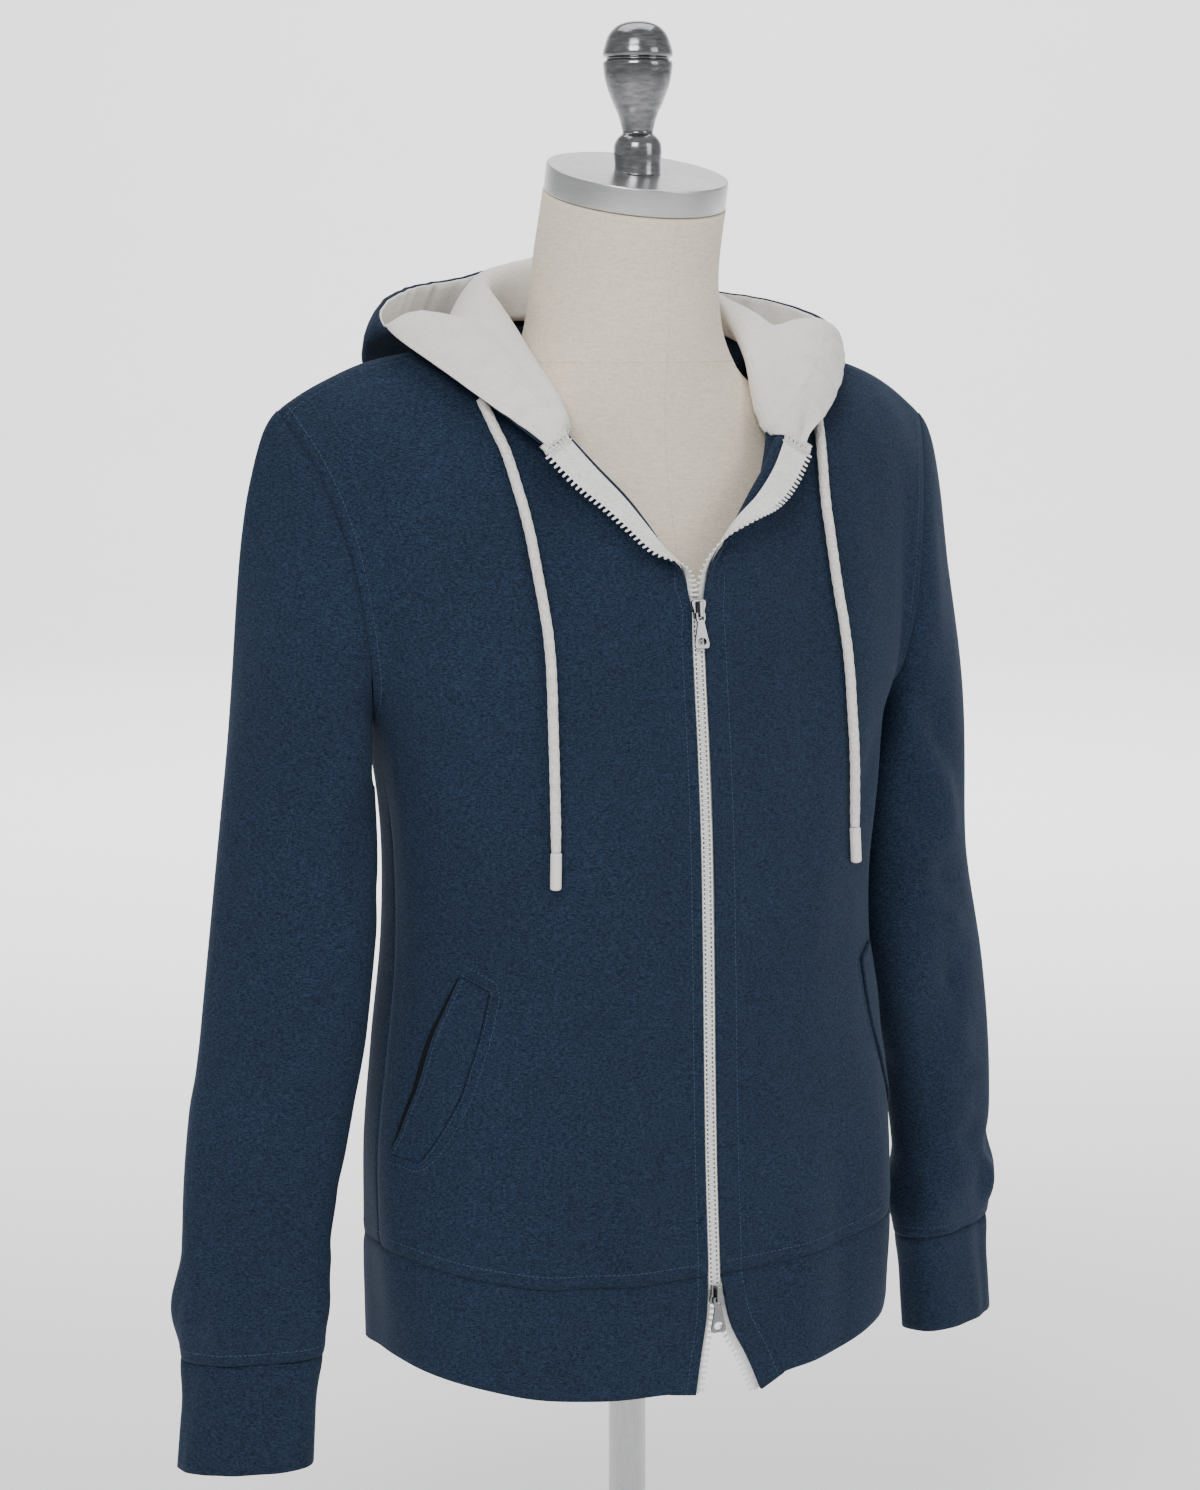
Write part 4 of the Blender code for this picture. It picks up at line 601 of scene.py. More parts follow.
def sleeve_grid(side, hole, n_rows, n_drop):
    """Sleeve from the armhole down. hole: the armhole's points, starting at
    the shoulder's tip, down the front to the armpit and up the back."""
    n = len(hole)
    s = np.concatenate([[0.0], np.cumsum(np.linalg.norm(
        np.diff(np.vstack([hole, hole[:1]]), axis=0), axis=1))])
    pit = int(np.argmin(hole[:, 2]))
    a = np.zeros(n)
    a[:pit + 1] = pi * s[:pit + 1] / s[pit]
    a[pit:] = pi + pi * (s[pit:n] - s[pit]) / (s[n] - s[pit])
    drop = SLEEVE_DROP[side]
    rings = []
    for z, x, y, major, minor, turn in SLEEVE:
        share = (0.60 - z) / (0.60 - 0.27)
        rings.append(sleeve_ring(z - drop * share, x, y, major, minor, turn, a))
    rings = np.array(rings)
    # the sleeve's head: each line leaves the armhole outwards and turns down
    centre = hole.mean(axis=0)
    around = unit(hole - centre)
    up = np.clip(around[:, 2], -1, 1)
    fore = np.clip(-around[:, 1], -1, 1)
    crown = np.clip(up, 0, 1)
    lead = unit(np.stack([0.62 + 0.25 * crown, -0.20 * fore, -0.78 + 0.10 * crown], axis=1))
    first, second = rings[0], rings[1]
    length = np.linalg.norm(first - hole, axis=1)
    rise = unit(first - second)
    head = []
    for k in range(n_rows):
        t = k / n_rows
        h00, h10 = 2 * t**3 - 3 * t**2 + 1, t**3 - 2 * t**2 + t
        h01, h11 = -2 * t**3 + 3 * t**2, t**3 - t**2
        out = 0.60 - 0.25 * crown
        head.append(h00 * hole + h10 * (length * out)[:, None] * lead
                    + h01 * first - h11 * (length * 0.9)[:, None] * rise)
    lower = []
    z_keys = np.arange(len(rings), dtype=float)
    flat = rings.reshape(len(rings), -1)
    for t in np.linspace(0, len(rings) - 1, n_drop + 1):
        lower.append(read(z_keys, flat, t, free=True)[0].reshape(n, 3))
    return np.array(head + lower), a


def cuff_grid(side, a, n_rows):
    z, x, y, _, _, turn = SLEEVE[-1]
    z = z - SLEEVE_DROP[side]
    rows = []
    c = np.array(CUFF)
    for d in np.linspace(0, c[-1, 0], n_rows + 1):
        major, minor = read(c[:, 0], c[:, 1:], d)[0]
        share = d / c[-1, 0]
        rows.append(sleeve_ring(z - d, x + CUFF_SHIFT[0] * share, y + CUFF_SHIFT[1] * share,
                                major, minor, turn, a))
    return np.array(rows)


def hood_grid(side, corner, n_rows, n_front=N_NECK_F, n_back=N_NECK_B):
    """Half of the hood, [row][column]: columns run from the front corner to
    the centre back and rows from the neck seam to the rim. corner is the
    front's turned-out upper edge, from its root to the zip edge."""
    h = np.array(HOOD).reshape(len(HOOD), 6, 3)
    neck = np.array(NECKLINE)
    c = along(corner, np.array([0.18, 0.34, 0.50, 0.66, 0.84, 1.0]))
    marks = [np.vstack([corner[0], c])]
    for k in range(len(h)):
        marks.append(np.vstack([neck[k + 1], h[k]]))
    marks = np.array(marks)
    keys = np.arange(len(marks), dtype=float)
    steps = np.concatenate([np.linspace(0, N_NECK_F, n_front + 1),
                            np.linspace(N_NECK_F, N_NECK_F + N_NECK_B, n_back + 1)[1:]])
    flat = marks.reshape(len(marks), -1)
    cols = read(keys, flat, steps, free=True).reshape(len(steps), 7, 3)
    for k, t in enumerate(steps):
        # on the panels' own straight-edged seam, then just clear of it
        seam = np.array([np.interp(t, keys, neck[:, i]) for i in range(3)])
        lift = HOOD_LIFT * (1.3 + 2.4 * max(0.0, 1.0 - 0.42 * t))
        cols[k, 0] = seam + unit(cols[k, 1] - seam) * lift
    grid = [smooth_path(col, np.linspace(0, 1, n_rows + 1)) for col in cols]
    grid[0] = along(corner, np.linspace(0, 1, n_rows + 1))
    return np.array(grid).transpose(1, 0, 2)


def normals(grid, closed=False):
    """Unit normals of a grid, from row direction x column direction."""
    g = grid
    dr = np.gradient(g, axis=0)
    if closed:
        dc = np.roll(g, -1, axis=1) - np.roll(g, 1, axis=1)
    else:
        dc = np.gradient(g, axis=1)
    return unit(np.cross(dc, dr))


def inset(grid, sides, amount):
    """Move the named edges of a grid inwards along the cloth."""
    g = grid.copy()
    if "low" in sides:
        g[0] += unit(grid[1] - grid[0]) * amount
    if "high" in sides:
        g[-1] += unit(grid[-2] - grid[-1]) * amount
    if "left" in sides:
        g[:, 0] += unit(grid[:, 1] - grid[:, 0]) * amount
    if "right" in sides:
        g[:, -1] += unit(grid[:, -2] - grid[:, -1]) * amount
    return g


def grid_faces(rows, cols, closed):
    span = cols if closed else cols - 1
    return [(r * cols + c, r * cols + (c + 1) % cols,
             (r + 1) * cols + (c + 1) % cols, (r + 1) * cols + c)
            for r in range(rows - 1) for c in range(span)]


def mirror(grid):
    g = grid.copy()
    g[..., 0] *= -1
    return g


def outwards(grid, norms, closed=False):
    """Turn normals so that they point away from the body's axis."""
    mid = grid.reshape(-1, 3).mean(axis=0)
    lean_out = (grid[..., :2] * norms[..., :2]).sum()
    return norms if lean_out > 0 else -norms


def build_body():
    made = {}
    fronts, holes = {}, {}
    for side in (-1, 1):
        fronts[side] = front_grid(side)
    half = panel(False, 1, N_NECK_B, N_SHOULDER, N_LOW, N_HIGH, 0.0)
    half[:, -1] = fronts[1][:, -1]            # the side seam and armhole's start
    half[N_LOW:, -1] = armhole(False, yoke_rows(N_HIGH))
    back = np.concatenate([mirror(half)[:, ::-1], half[:, 1:]], axis=1)

    norm_f = {s: outwards(fronts[s], normals(fronts[s])) for s in fronts}
    norm_b = outwards(back, normals(back))
    # shared directions along the side and shoulder seams
    for s in (-1, 1):
        col = -1 if s > 0 else 0
        nb = norm_b[:, col].copy()
        if s < 0:
            nb[:, 0] *= -1
        for r in range(N_LOW + 1):
            m = unit(norm_f[s][r, -1] + nb[r])
            norm_f[s][r, -1] = m
            nb[r] = m
        span = N_SHOULDER + 1
        top_b = norm_b[-1, -span:].copy() if s > 0 else norm_b[-1, :span][::-1].copy()
        if s < 0:
            top_b[:, 0] *= -1
        top = unit(norm_f[s][-1, -span:] + top_b)
        norm_f[s][-1, -span:] = top
        if s > 0:
            norm_b[-1, -span:] = top
        else:
            back_top = top.copy()
            back_top[:, 0] *= -1
            norm_b[-1, :span] = back_top[::-1]
        nb[-1] = top[-1]
        # the armhole: pieces meet on the half angle with the sleeve
        if s < 0:
            nb[:, 0] *= -1
        norm_b[:, col] = nb
    return fronts, back, norm_f, norm_b


def armhole_loop(front, back_half):
    """Armhole points: tip, down the front to the armpit, up the back."""
    f = front[N_LOW:, -1][::-1]
    b = back_half[N_LOW:, -1]
    return np.vstack([f, b[1:-1]])


def clear_of(grid, tree, clearance, rounds=4):
    """Lift a grid off other cloth along that cloth's own normal, and spread
    each lift over its neighbours so that the sheet stays smooth. Points over
    the neck opening are left alone."""
    seam = neck_path(np.linspace(0, N_NECK_F + N_NECK_B, 90))
    out = grid.copy()
    for turn in range(rounds):
        lift = np.zeros_like(out)
        for index in np.ndindex(out.shape[:2]):
            spot, normal, _, dist = tree.find_nearest(tuple(out[index]))
            if spot is None or dist > 0.05:
                continue
            if np.linalg.norm(seam - np.array(spot), axis=1).min() < 0.003:
                continue
            gap = float(np.dot(out[index] - np.array(spot), np.array(normal)))
            if gap < clearance:
                lift[index] = np.array(normal) * (clearance - gap)
        if turn < rounds - 1:
            near = lift.copy()
            near[1:] += 0.5 * lift[:-1]
            near[:-1] += 0.5 * lift[1:]
            near[:, 1:] += 0.5 * lift[:, :-1]
            near[:, :-1] += 0.5 * lift[:, 1:]
            size = np.linalg.norm(near, axis=-1, keepdims=True)
            most = max(np.linalg.norm(lift, axis=-1).max(), 1e-9)
            lift = near * np.minimum(1.0, most / np.maximum(size, 1e-9))
        out = out + lift
    return out


def sheet_tree(sheets):
    """Search tree of some sheets, their faces turned the way of the normals."""
    points, faces = [], []
    for grid, norms in sheets:
        first = len(points)
        rows, cols = grid.shape[:2]
        flat = grid.reshape(-1, 3)
        flat_n = norms.reshape(-1, 3)
        points += [tuple(p) for p in flat]
        for f in grid_faces(rows, cols, False):
            a, b, c, d = (flat[k] for k in f)
            n = np.cross(b - a, d - a) + np.cross(d - c, b - c)
            f = f if np.dot(n, flat_n[f[0]]) > 0 else tuple(reversed(f))
            faces.append(tuple(first + k for k in f))
    return BVHTree.FromPolygons(points, faces)


def cloth_sheets():
    fronts, back, norm_f, norm_b = build_body()
    c = (back.shape[1] - 1) // 2
    half_back = back[:, c:]
    pieces = {}

    # sleeves and cuffs, which share the armhole's direction with the body
    for side, tag in ((1, "left"), (-1, "right")):
        hole = armhole_loop(fronts[side], half_back)
        hole_out = hole.copy()
        sleeve, a = sleeve_grid(side, hole_out, N_HEAD, N_ARM)
        ns = normals(sleeve, closed=True)
        centre = sleeve.mean(axis=1, keepdims=True)
        if ((sleeve - centre) * ns).sum() < 0:
            ns = -ns
        # half angle along the armhole
        n_f = norm_f[side][N_LOW:, -1][::-1]
        n_b = (norm_b[N_LOW:, -1] if side > 0 else norm_b[N_LOW:, 0] * np.array([-1, 1, 1]))
        body_n = np.vstack([n_f, n_b[1:-1]])
        shared = unit(body_n + ns[0])
        ns[0] = shared
        norm_f[side][N_LOW:, -1] = shared[:N_HIGH + 1][::-1]
        back_n = np.vstack([shared[N_HIGH:], shared[:1]])
        if side > 0:
            norm_b[N_LOW:, -1] = back_n
        else:
            norm_b[N_LOW:, 0] = back_n * np.array([-1, 1, 1])
        g = inset(sleeve, ("low", "high"), SEAM / 2)
        pieces["sleeve_" + tag] = (g, g - ns * WALL, side, True, "navy")
        cuff = cuff_grid(side, a, 3)
        nc = normals(cuff, closed=True)
        centre = cuff.mean(axis=1, keepdims=True)
        if ((cuff - centre) * nc).sum() < 0:
            nc = -nc
        g = inset(cuff, ("low",), SEAM / 2)
        g[0] = sleeve[-1] + (g[0] - sleeve[-1]) * 0.55
        g[0, :, 2] = sleeve[-1, :, 2] - SEAM / 2
        pieces["cuff_" + tag] = (g, g - nc * BAND_WALL, side, True, "navy")

    # fronts and back
    for side, tag in ((1, "left"), (-1, "right")):
        g = inset(fronts[side], ("low", "high", "right"), SEAM / 2)
        pieces["front_" + tag] = (g, g - norm_f[side] * WALL, side, False, "navy")
    g = inset(back, ("low", "high", "left", "right"), SEAM / 2)
    pieces["back"] = (g, g - norm_b * WALL, 1, False, "navy")

    # hem band, one strip from zip edge to zip edge
    n_side = N_NECK_F + N_SHOULDER
    halves = {s: band_grid(s, N_MARGIN, n_side, 3) for s in (-1, 1)}
    n_half = N_NECK_B + N_SHOULDER
    rear = []
    for z in np.linspace(HEM_Z, BAND_Z, 4):
        rear.append(along(ring_arc(z, False), np.linspace(0, 1, n_half + 1)))
    rear = np.array(rear)
    band = np.concatenate([halves[1], rear[:, ::-1][:, 1:], mirror(rear)[:, 1:],
                           mirror(halves[-1])[:, ::-1][:, 1:]], axis=1)
    nb = outwards(band, normals(band))
    g = inset(band, ("high",), SEAM / 2)
    pieces["hem_band"] = (g, g - nb * BAND_WALL, 1, False, "navy")

    # hood and lining, kept off the shoulders and the back
    for side, tag in ((1, "left"), (-1, "right")):
        corner = fronts[side][-1, :N_MARGIN + 1][::-1]
        grid = hood_grid(side, corner, N_HOOD, N_HOOD_F, N_HOOD_B)
        tree = sheet_tree([(fronts[side], norm_f[side]), (half_back, norm_b[:, c:])])
        grid[2:, 1:] = clear_of(grid[2:, 1:], tree, 0.0030)
        grid[:, -1, 0] = 0.0
        nh = normals(grid)
        # the standing part beside the neck faces away from the neck
        test = (grid[1, 6:, :2] * nh[1, 6:, :2]).sum()
        nh = nh if test > 0 else -nh
        nh[:, -1, 0] = 0.0
        nh = unit(nh)
        corner_run = unit(fronts[side][-1, 2] - fronts[side][-2, 2])
        n_corner = norm_f[side][-1, :N_MARGIN + 1][::-1]
        s_old = np.linspace(0, 1, N_MARGIN + 1)
        s_new = np.linspace(0, 1, N_HOOD + 1)
        nh[:, 0] = unit(np.stack([np.interp(s_new, s_old, n_corner[:, k]) for k in range(3)], axis=1))
        g = inset(grid, ("right",), SEAM / 2)
        g[:, 0] += corner_run * 0.0014
        pieces["hood_" + tag] = (g, g - nh * WALL, side, False, "navy")
        inner = g - nh * (WALL + LINING_GAP)
        inner[0] += unit(inner[1] - inner[0]) * 0.0012
        pieces["hood_lining_" + tag] = (inner, inner - nh * LINING, side, False, "white")

    # zip tapes, behind the margins and turning out with them
    for side, tag in ((1, "left"), (-1, "right")):
        zs = np.concatenate([np.linspace(HEM_Z, BAND_Z, 4)[:-1], row_heights(N_LOW, N_HIGH)])
        zs[0] += 0.0008
        zs[-1] -= 0.0008
        rows = []
        for z in zs:
            rows.append(margin(side, z, tape_stops(side, z, N_MARGIN), edge_ahead(z),
                               -(BAND_WALL + TAPE_GAP)))
        g = np.array(rows)
        nt = outwards(g[:12], normals(g)[:12])
        nt = normals(g) if np.allclose(nt, normals(g)[:12]) else -normals(g)
        pieces["zip_tape_" + tag] = (g, g - nt * TAPE, side, False, "white")

    # pocket welts, laid on the fronts
    for side, tag in ((1, "left"), (-1, "right")):
        tree = sheet_tree([(fronts[side], norm_f[side])])
        rows = []
        lines = read(np.arange(len(POCKET)), np.array(POCKET),
                     np.linspace(0, len(POCKET) - 1, 9))
        for z_a, x_a, z_b, x_b in lines:
            rows.append([on_front(tree, side, z_a + (z_b - z_a) * t, x_a + (x_b - x_a) * t)
                         for t in np.linspace(0, 1, 4)])
        g = np.array([[p for p, _ in row] for row in rows])
        nw = np.array([[m for _, m in row] for row in rows])
        base = g + nw * 0.0011
        pieces["pocket_welt_" + tag] = (base + nw * WELT, base, side, False, "navy")

    return pieces


def on_front(tree, side, z, x):
    """Point and outward normal of a front's face below the chest line."""
    arc = ring_arc(z, True, edge(side, z)[0][0])
    k = int(np.clip(np.searchsorted(arc[:, 0], x), 1, len(arc) - 2))
    along_arc = unit(arc[k + 1] - arc[k - 1])
    out = unit(np.array([along_arc[1], -along_arc[0], 0.0]))
    spot, normal, _, _ = tree.ray_cast(tuple(arc[k] + out * 0.03), tuple(-out))
    return np.array(spot), unit(np.array(normal) + out)


def front_spot(tree, x, z):
    """Point and outward normal of the front's face at x and z."""
    spot, normal, _, _ = tree.ray_cast((x, -0.5, z), (0, 1, 0))
    n = np.array(normal)
    return np.array(spot), n if n[1] < 0 else -n


def zip_face(z):
    """Depth of the cloth's outer face at the closed zip."""
    return margin_point(1, z, MARGIN + 0.002, edge_ahead(z))[1]


def cord_line(side, tree):
    """Centre line of a drawcord, down to the foot of its tip."""
    c = np.array(CORD)[::-1]
    column = 1 if side < 0 else 2
    line = []
    for z in np.linspace(c[0, 0], c[-1, 0], 60):
        x = side * read(c[:, 0], c[:, column], z)[0]
        spot, normal = front_spot(tree, x, z)
        line.append(spot + normal * (CORD_D / 2 + CORD_CLEAR))
    line = np.array(line)[::-1]
    # keep the widest bulge so the cord hangs straight from it, not into hollows
    for _ in range(40):
        mid = (line[:-2] + line[2:]) / 2
        line[1:-1, 1] = np.minimum(line[1:-1, 1], mid[:, 1])
    return line


# ------------------------------------------------------------ fine sheets
SUB_LOW, SUB_HIGH = 16, 6      # parts of each row below and above the chest
SUB_COL, SUB_BACK = 8, 6


def row_stops(keys, parts):
    out = [float(keys[0])]
    for k, n in enumerate(parts):
        out += list(np.linspace(keys[k], keys[k + 1], n + 1)[1:])
    return np.array(out)


def finer(grid, keys, parts, per_column, closed=False):
    """The same sheet with each row interval cut into parts[k] and each column
    interval into per_column, on smooth curves through its points."""
    rows, cols = grid.shape[:2]
    if closed:
        g = np.concatenate([grid[:, -3:], grid, grid[:, :4]], axis=1)
        key_c = np.arange(-3, cols + 4, dtype=float)
        t = np.arange(cols * per_column) / per_column
    else:
        g, key_c = grid, np.arange(cols, dtype=float)
        t = np.linspace(0, cols - 1, (cols - 1) * per_column + 1)
    flat = g.transpose(1, 0, 2).reshape(len(key_c), -1)
    fine = read(key_c, flat, t, free=True).reshape(len(t), rows, 3).transpose(1, 0, 2)
    stops = row_stops(keys, parts)
    return read(np.asarray(keys, float), fine.reshape(rows, -1), stops,
                free=True).reshape(len(stops), fine.shape[1], 3)


# soft folds: which cloth, ends of the line (m), half width and depth (m);
# a ridge is positive and a trough negative
FOLDS = (
    # cloth    x0      y0      z0     x1      y1      z1     width   depth
    ("body",  -0.186, -0.045, 0.672, -0.128, -0.090, 0.612, 0.0150, -0.0026),
    ("body",  -0.180, -0.055, 0.640, -0.140, -0.090, 0.560, 0.0170,  0.0022),
    ("body",   0.186, -0.045, 0.668,  0.132, -0.088, 0.600, 0.0150, -0.0030),
    ("body",   0.182, -0.050, 0.640,  0.150, -0.086, 0.540, 0.0160,  0.0024),
    ("body",  -0.168, -0.070, 0.560, -0.162, -0.078, 0.440, 0.0150, -0.0020),
    ("body",  -0.150, -0.085, 0.520, -0.135, -0.098, 0.420, 0.0160,  0.0016),
    ("body",  -0.120, -0.105, 0.360, -0.118, -0.108, 0.262, 0.0190,  0.0024),
    ("body",  -0.086, -0.112, 0.372, -0.084, -0.118, 0.250, 0.0150, -0.0018),
    ("body",  -0.052, -0.116, 0.350, -0.050, -0.121, 0.245, 0.0160,  0.0016),
    ("body",   0.062, -0.116, 0.400,  0.070, -0.119, 0.255, 0.0180,  0.0018),
    ("body",   0.104, -0.110, 0.380,  0.112, -0.112, 0.260, 0.0150, -0.0022),
    ("body",   0.146, -0.088, 0.420,  0.150, -0.090, 0.270, 0.0190,  0.0026),
    ("body",   0.168, -0.066, 0.560,  0.160, -0.078, 0.450, 0.0130, -0.0024),
    ("body",  -0.175, -0.020, 0.450, -0.180, -0.020, 0.300, 0.0160,  0.0018),
    ("body",   0.060, -0.105, 0.520,  0.150, -0.085, 0.500, 0.0120, -0.0013),
    ("body",  -0.050, -0.112, 0.455, -0.130, -0.098, 0.470, 0.0130, -0.0011),
    ("body",  -0.070, -0.080, 0.800, -0.115, -0.070, 0.760, 0.0140, -0.0012),
    # back
    ("body",  -0.180,  0.040, 0.670, -0.090,  0.100, 0.590, 0.0160, -0.0030),
    ("body",   0.182,  0.040, 0.670,  0.085,  0.100, 0.575, 0.0170, -0.0028),
    ("body",  -0.170,  0.060, 0.620, -0.080,  0.104, 0.520, 0.0160,  0.0026),
    ("body",   0.172,  0.060, 0.630,  0.070,  0.105, 0.530, 0.0150,  0.0024),
    ("body",  -0.110,  0.094, 0.470,  0.040,  0.106, 0.452, 0.0130, -0.0024),
    ("body",  -0.050,  0.104, 0.430,  0.120,  0.094, 0.420, 0.0130, -0.0022),
    ("body",  -0.020,  0.108, 0.495,  0.100,  0.098, 0.478, 0.0120,  0.0018),
    ("body",  -0.080,  0.104, 0.390, -0.086,  0.102, 0.262, 0.0180,  0.0030),
    ("body",  -0.020,  0.110, 0.380, -0.024,  0.108, 0.260, 0.0150, -0.0026),
    ("body",   0.050,  0.108, 0.396,  0.056,  0.106, 0.258, 0.0170,  0.0028),
    ("body",   0.116,  0.090, 0.380,  0.120,  0.088, 0.270, 0.0160, -0.0022),
    ("body",  -0.150,  0.060, 0.400, -0.156,  0.060, 0.280, 0.0150, -0.0024),
    # wearer's right sleeve
    ("arm_r", -0.196, -0.026, 0.690, -0.252, -0.020, 0.600, 0.0130, -0.0030),
    ("arm_r", -0.206, -0.030, 0.660, -0.262, -0.010, 0.545, 0.0140,  0.0026),
    ("arm_r", -0.192, -0.006, 0.640, -0.214, -0.024, 0.560, 0.0110, -0.0028),
    ("arm_r", -0.190,  0.000, 0.560, -0.240, -0.028, 0.528, 0.0090, -0.0030),
    ("arm_r", -0.192,  0.004, 0.535, -0.250, -0.024, 0.496, 0.0100,  0.0026),
    ("arm_r", -0.196,  0.004, 0.500, -0.246, -0.026, 0.476, 0.0085, -0.0028),
    ("arm_r", -0.200,  0.006, 0.462, -0.262, -0.020, 0.430, 0.0100,  0.0022),
    ("arm_r", -0.206,  0.006, 0.430, -0.256, -0.022, 0.398, 0.0090, -0.0024),
    ("arm_r", -0.296,  0.020, 0.600, -0.280, -0.018, 0.500, 0.0140, -0.0018),
    ("arm_r", -0.214,  0.000, 0.372, -0.270, -0.014, 0.352, 0.0100, -0.0018),
    ("arm_r", -0.222, -0.004, 0.320, -0.290, -0.004, 0.306, 0.0095,  0.0024),
    ("arm_r", -0.300,  0.018, 0.344, -0.262, -0.012, 0.300, 0.0110, -0.0020),
    ("arm_r", -0.250,  0.044, 0.560, -0.290,  0.040, 0.440, 0.0140, -0.0026),
    ("arm_r", -0.216,  0.038, 0.500, -0.270,  0.048, 0.470, 0.0100,  0.0024),
    ("arm_r", -0.230,  0.044, 0.380, -0.290,  0.046, 0.340, 0.0110, -0.0022),
    # wearer's left sleeve
    ("arm_l",  0.196, -0.026, 0.684,  0.250, -0.022, 0.610, 0.0130, -0.0032),
    ("arm_l",  0.206, -0.030, 0.650,  0.256, -0.016, 0.560, 0.0140,  0.0028),
    ("arm_l",  0.190, -0.004, 0.610,  0.226, -0.026, 0.572, 0.0100, -0.0030),
    ("arm_l",  0.190,  0.000, 0.548,  0.250, -0.022, 0.536, 0.0095, -0.0030),
    ("arm_l",  0.192,  0.004, 0.520,  0.262, -0.018, 0.500, 0.0100,  0.0026),
    ("arm_l",  0.198,  0.004, 0.486,  0.256, -0.022, 0.460, 0.0090, -0.0030),
    ("arm_l",  0.204,  0.004, 0.440,  0.262, -0.020, 0.422, 0.0100,  0.0020),
    ("arm_l",  0.208,  0.004, 0.404,  0.270, -0.014, 0.392, 0.0090, -0.0026),
    ("arm_l",  0.300,  0.018, 0.640,  0.290, -0.010, 0.540, 0.0150, -0.0018),
    ("arm_l",  0.220, -0.004, 0.330,  0.300,  0.004, 0.322, 0.0100,  0.0026),
    ("arm_l",  0.222, -0.004, 0.356,  0.280, -0.010, 0.346, 0.0090, -0.0022),
    ("arm_l",  0.310,  0.022, 0.350,  0.280, -0.008, 0.316, 0.0110, -0.0020),
    ("arm_l",  0.250,  0.044, 0.570,  0.290,  0.040, 0.450, 0.0140, -0.0026),
    ("arm_l",  0.220,  0.038, 0.490,  0.280,  0.046, 0.462, 0.0100,  0.0024),
    ("arm_l",  0.236,  0.044, 0.390,  0.290,  0.046, 0.352, 0.0110, -0.0022),
    # hood: gathers by the cord and along the bag
    ("hood",  -0.150, -0.020, 0.902, -0.110, -0.030, 0.890, 0.0060, -0.0012),
    ("hood",  -0.128, -0.030, 0.884, -0.104, -0.036, 0.878, 0.0050, -0.0010),
    ("hood",   0.156, -0.004, 0.914,  0.112, -0.014, 0.900, 0.0060, -0.0014),
    ("hood",   0.150, -0.018, 0.902,  0.108, -0.028, 0.888, 0.0055, -0.0012),
    ("hood",   0.128, -0.034, 0.884,  0.100, -0.040, 0.876, 0.0050,  0.0010),
    ("hood",  -0.120,  0.110, 0.860, -0.050,  0.158, 0.820, 0.0140, -0.0022),
    ("hood",   0.116,  0.112, 0.872,  0.050,  0.158, 0.826, 0.0130, -0.0020),
    ("hood",  -0.060,  0.150, 0.900,  0.020,  0.165, 0.870, 0.0120,  0.0016),
)
_rng = np.random.default_rng(11)
WAVES = [(unit(_rng.normal(size=3) * np.array([1.0, 1.0, 0.45])) * 2 * pi / length,
          _rng.uniform(0, 2 * pi), size)
         for length, size in ((0.16, 0.0011), (0.12, 0.0009), (0.085, 0.0006),
                              (0.062, 0.0004), (0.047, 0.0003), (0.034, 0.0002))]


def fold_height(points, cloth, still=1.0):
    """How far the cloth stands off its plain shape at some points."""
    p = points.reshape(-1, 3)
    out = np.zeros(len(p))
    for wave, phase, size in WAVES:
        out += size * np.sin(p @ wave + phase)
    for which, x0, y0, z0, x1, y1, z1, width, depth in FOLDS:
        if which != cloth:
            continue
        a, b = np.array([x0, y0, z0]), np.array([x1, y1, z1])
        run = b - a
        t = np.clip((p - a) @ run / (run @ run), 0, 1)
        off = np.linalg.norm(p - a - t[:, None] * run, axis=1)
        taper = np.sin(pi * (0.12 + 0.76 * t)) ** 0.8
        out += (2.0 if cloth == "hood" else 1.35) * depth * taper * np.exp(-(off / width) ** 2)
    out *= still
    # quiet beside the zip, where the tape holds the cloth
    if cloth == "body":
        far = np.full(len(p), 0.05)
        near = np.where((p[:, 1] < -0.03) & (np.abs(p[:, 0]) < 0.15))[0]
        for k in near:
            far[k] = min(TAPES.find_nearest(tuple(p[k]))[3], 0.05)
        out *= np.clip((far - 0.005) / 0.035, 0, 1)
    return out.reshape(points.shape[:-1])


def shell(name, outer, inner, closed=False):
    """A closed thin shell between two fine grids."""
    rows, cols = outer.shape[:2]
    n = rows * cols
    verts = np.vstack([outer.reshape(-1, 3), inner.reshape(-1, 3)])
    quads = np.array(grid_faces(rows, cols, closed))
    faces = [quads, quads[:, ::-1] + n]
    if closed:
        k = np.arange(cols)
        j = (k + 1) % cols
        low, high = k * 0, (rows - 1) * cols
        faces.append(np.stack([k, n + k, n + j, j], axis=1)[:, ::-1][:, ::-1])
        faces.append(np.stack([high + j, n + high + j, n + high + k, high + k], axis=1))
    else:
        loop = np.array([c for c in range(cols)] + [r * cols + cols - 1 for r in range(1, rows)]
                        + [(rows - 1) * cols + c for c in range(cols - 2, -1, -1)]
                        + [r * cols for r in range(rows - 2, 0, -1)])
        after = np.roll(loop, -1)
        faces.append(np.stack([loop, n + loop, n + after, after], axis=1))
    faces = np.vstack(faces)
    return solid(name, verts, faces)


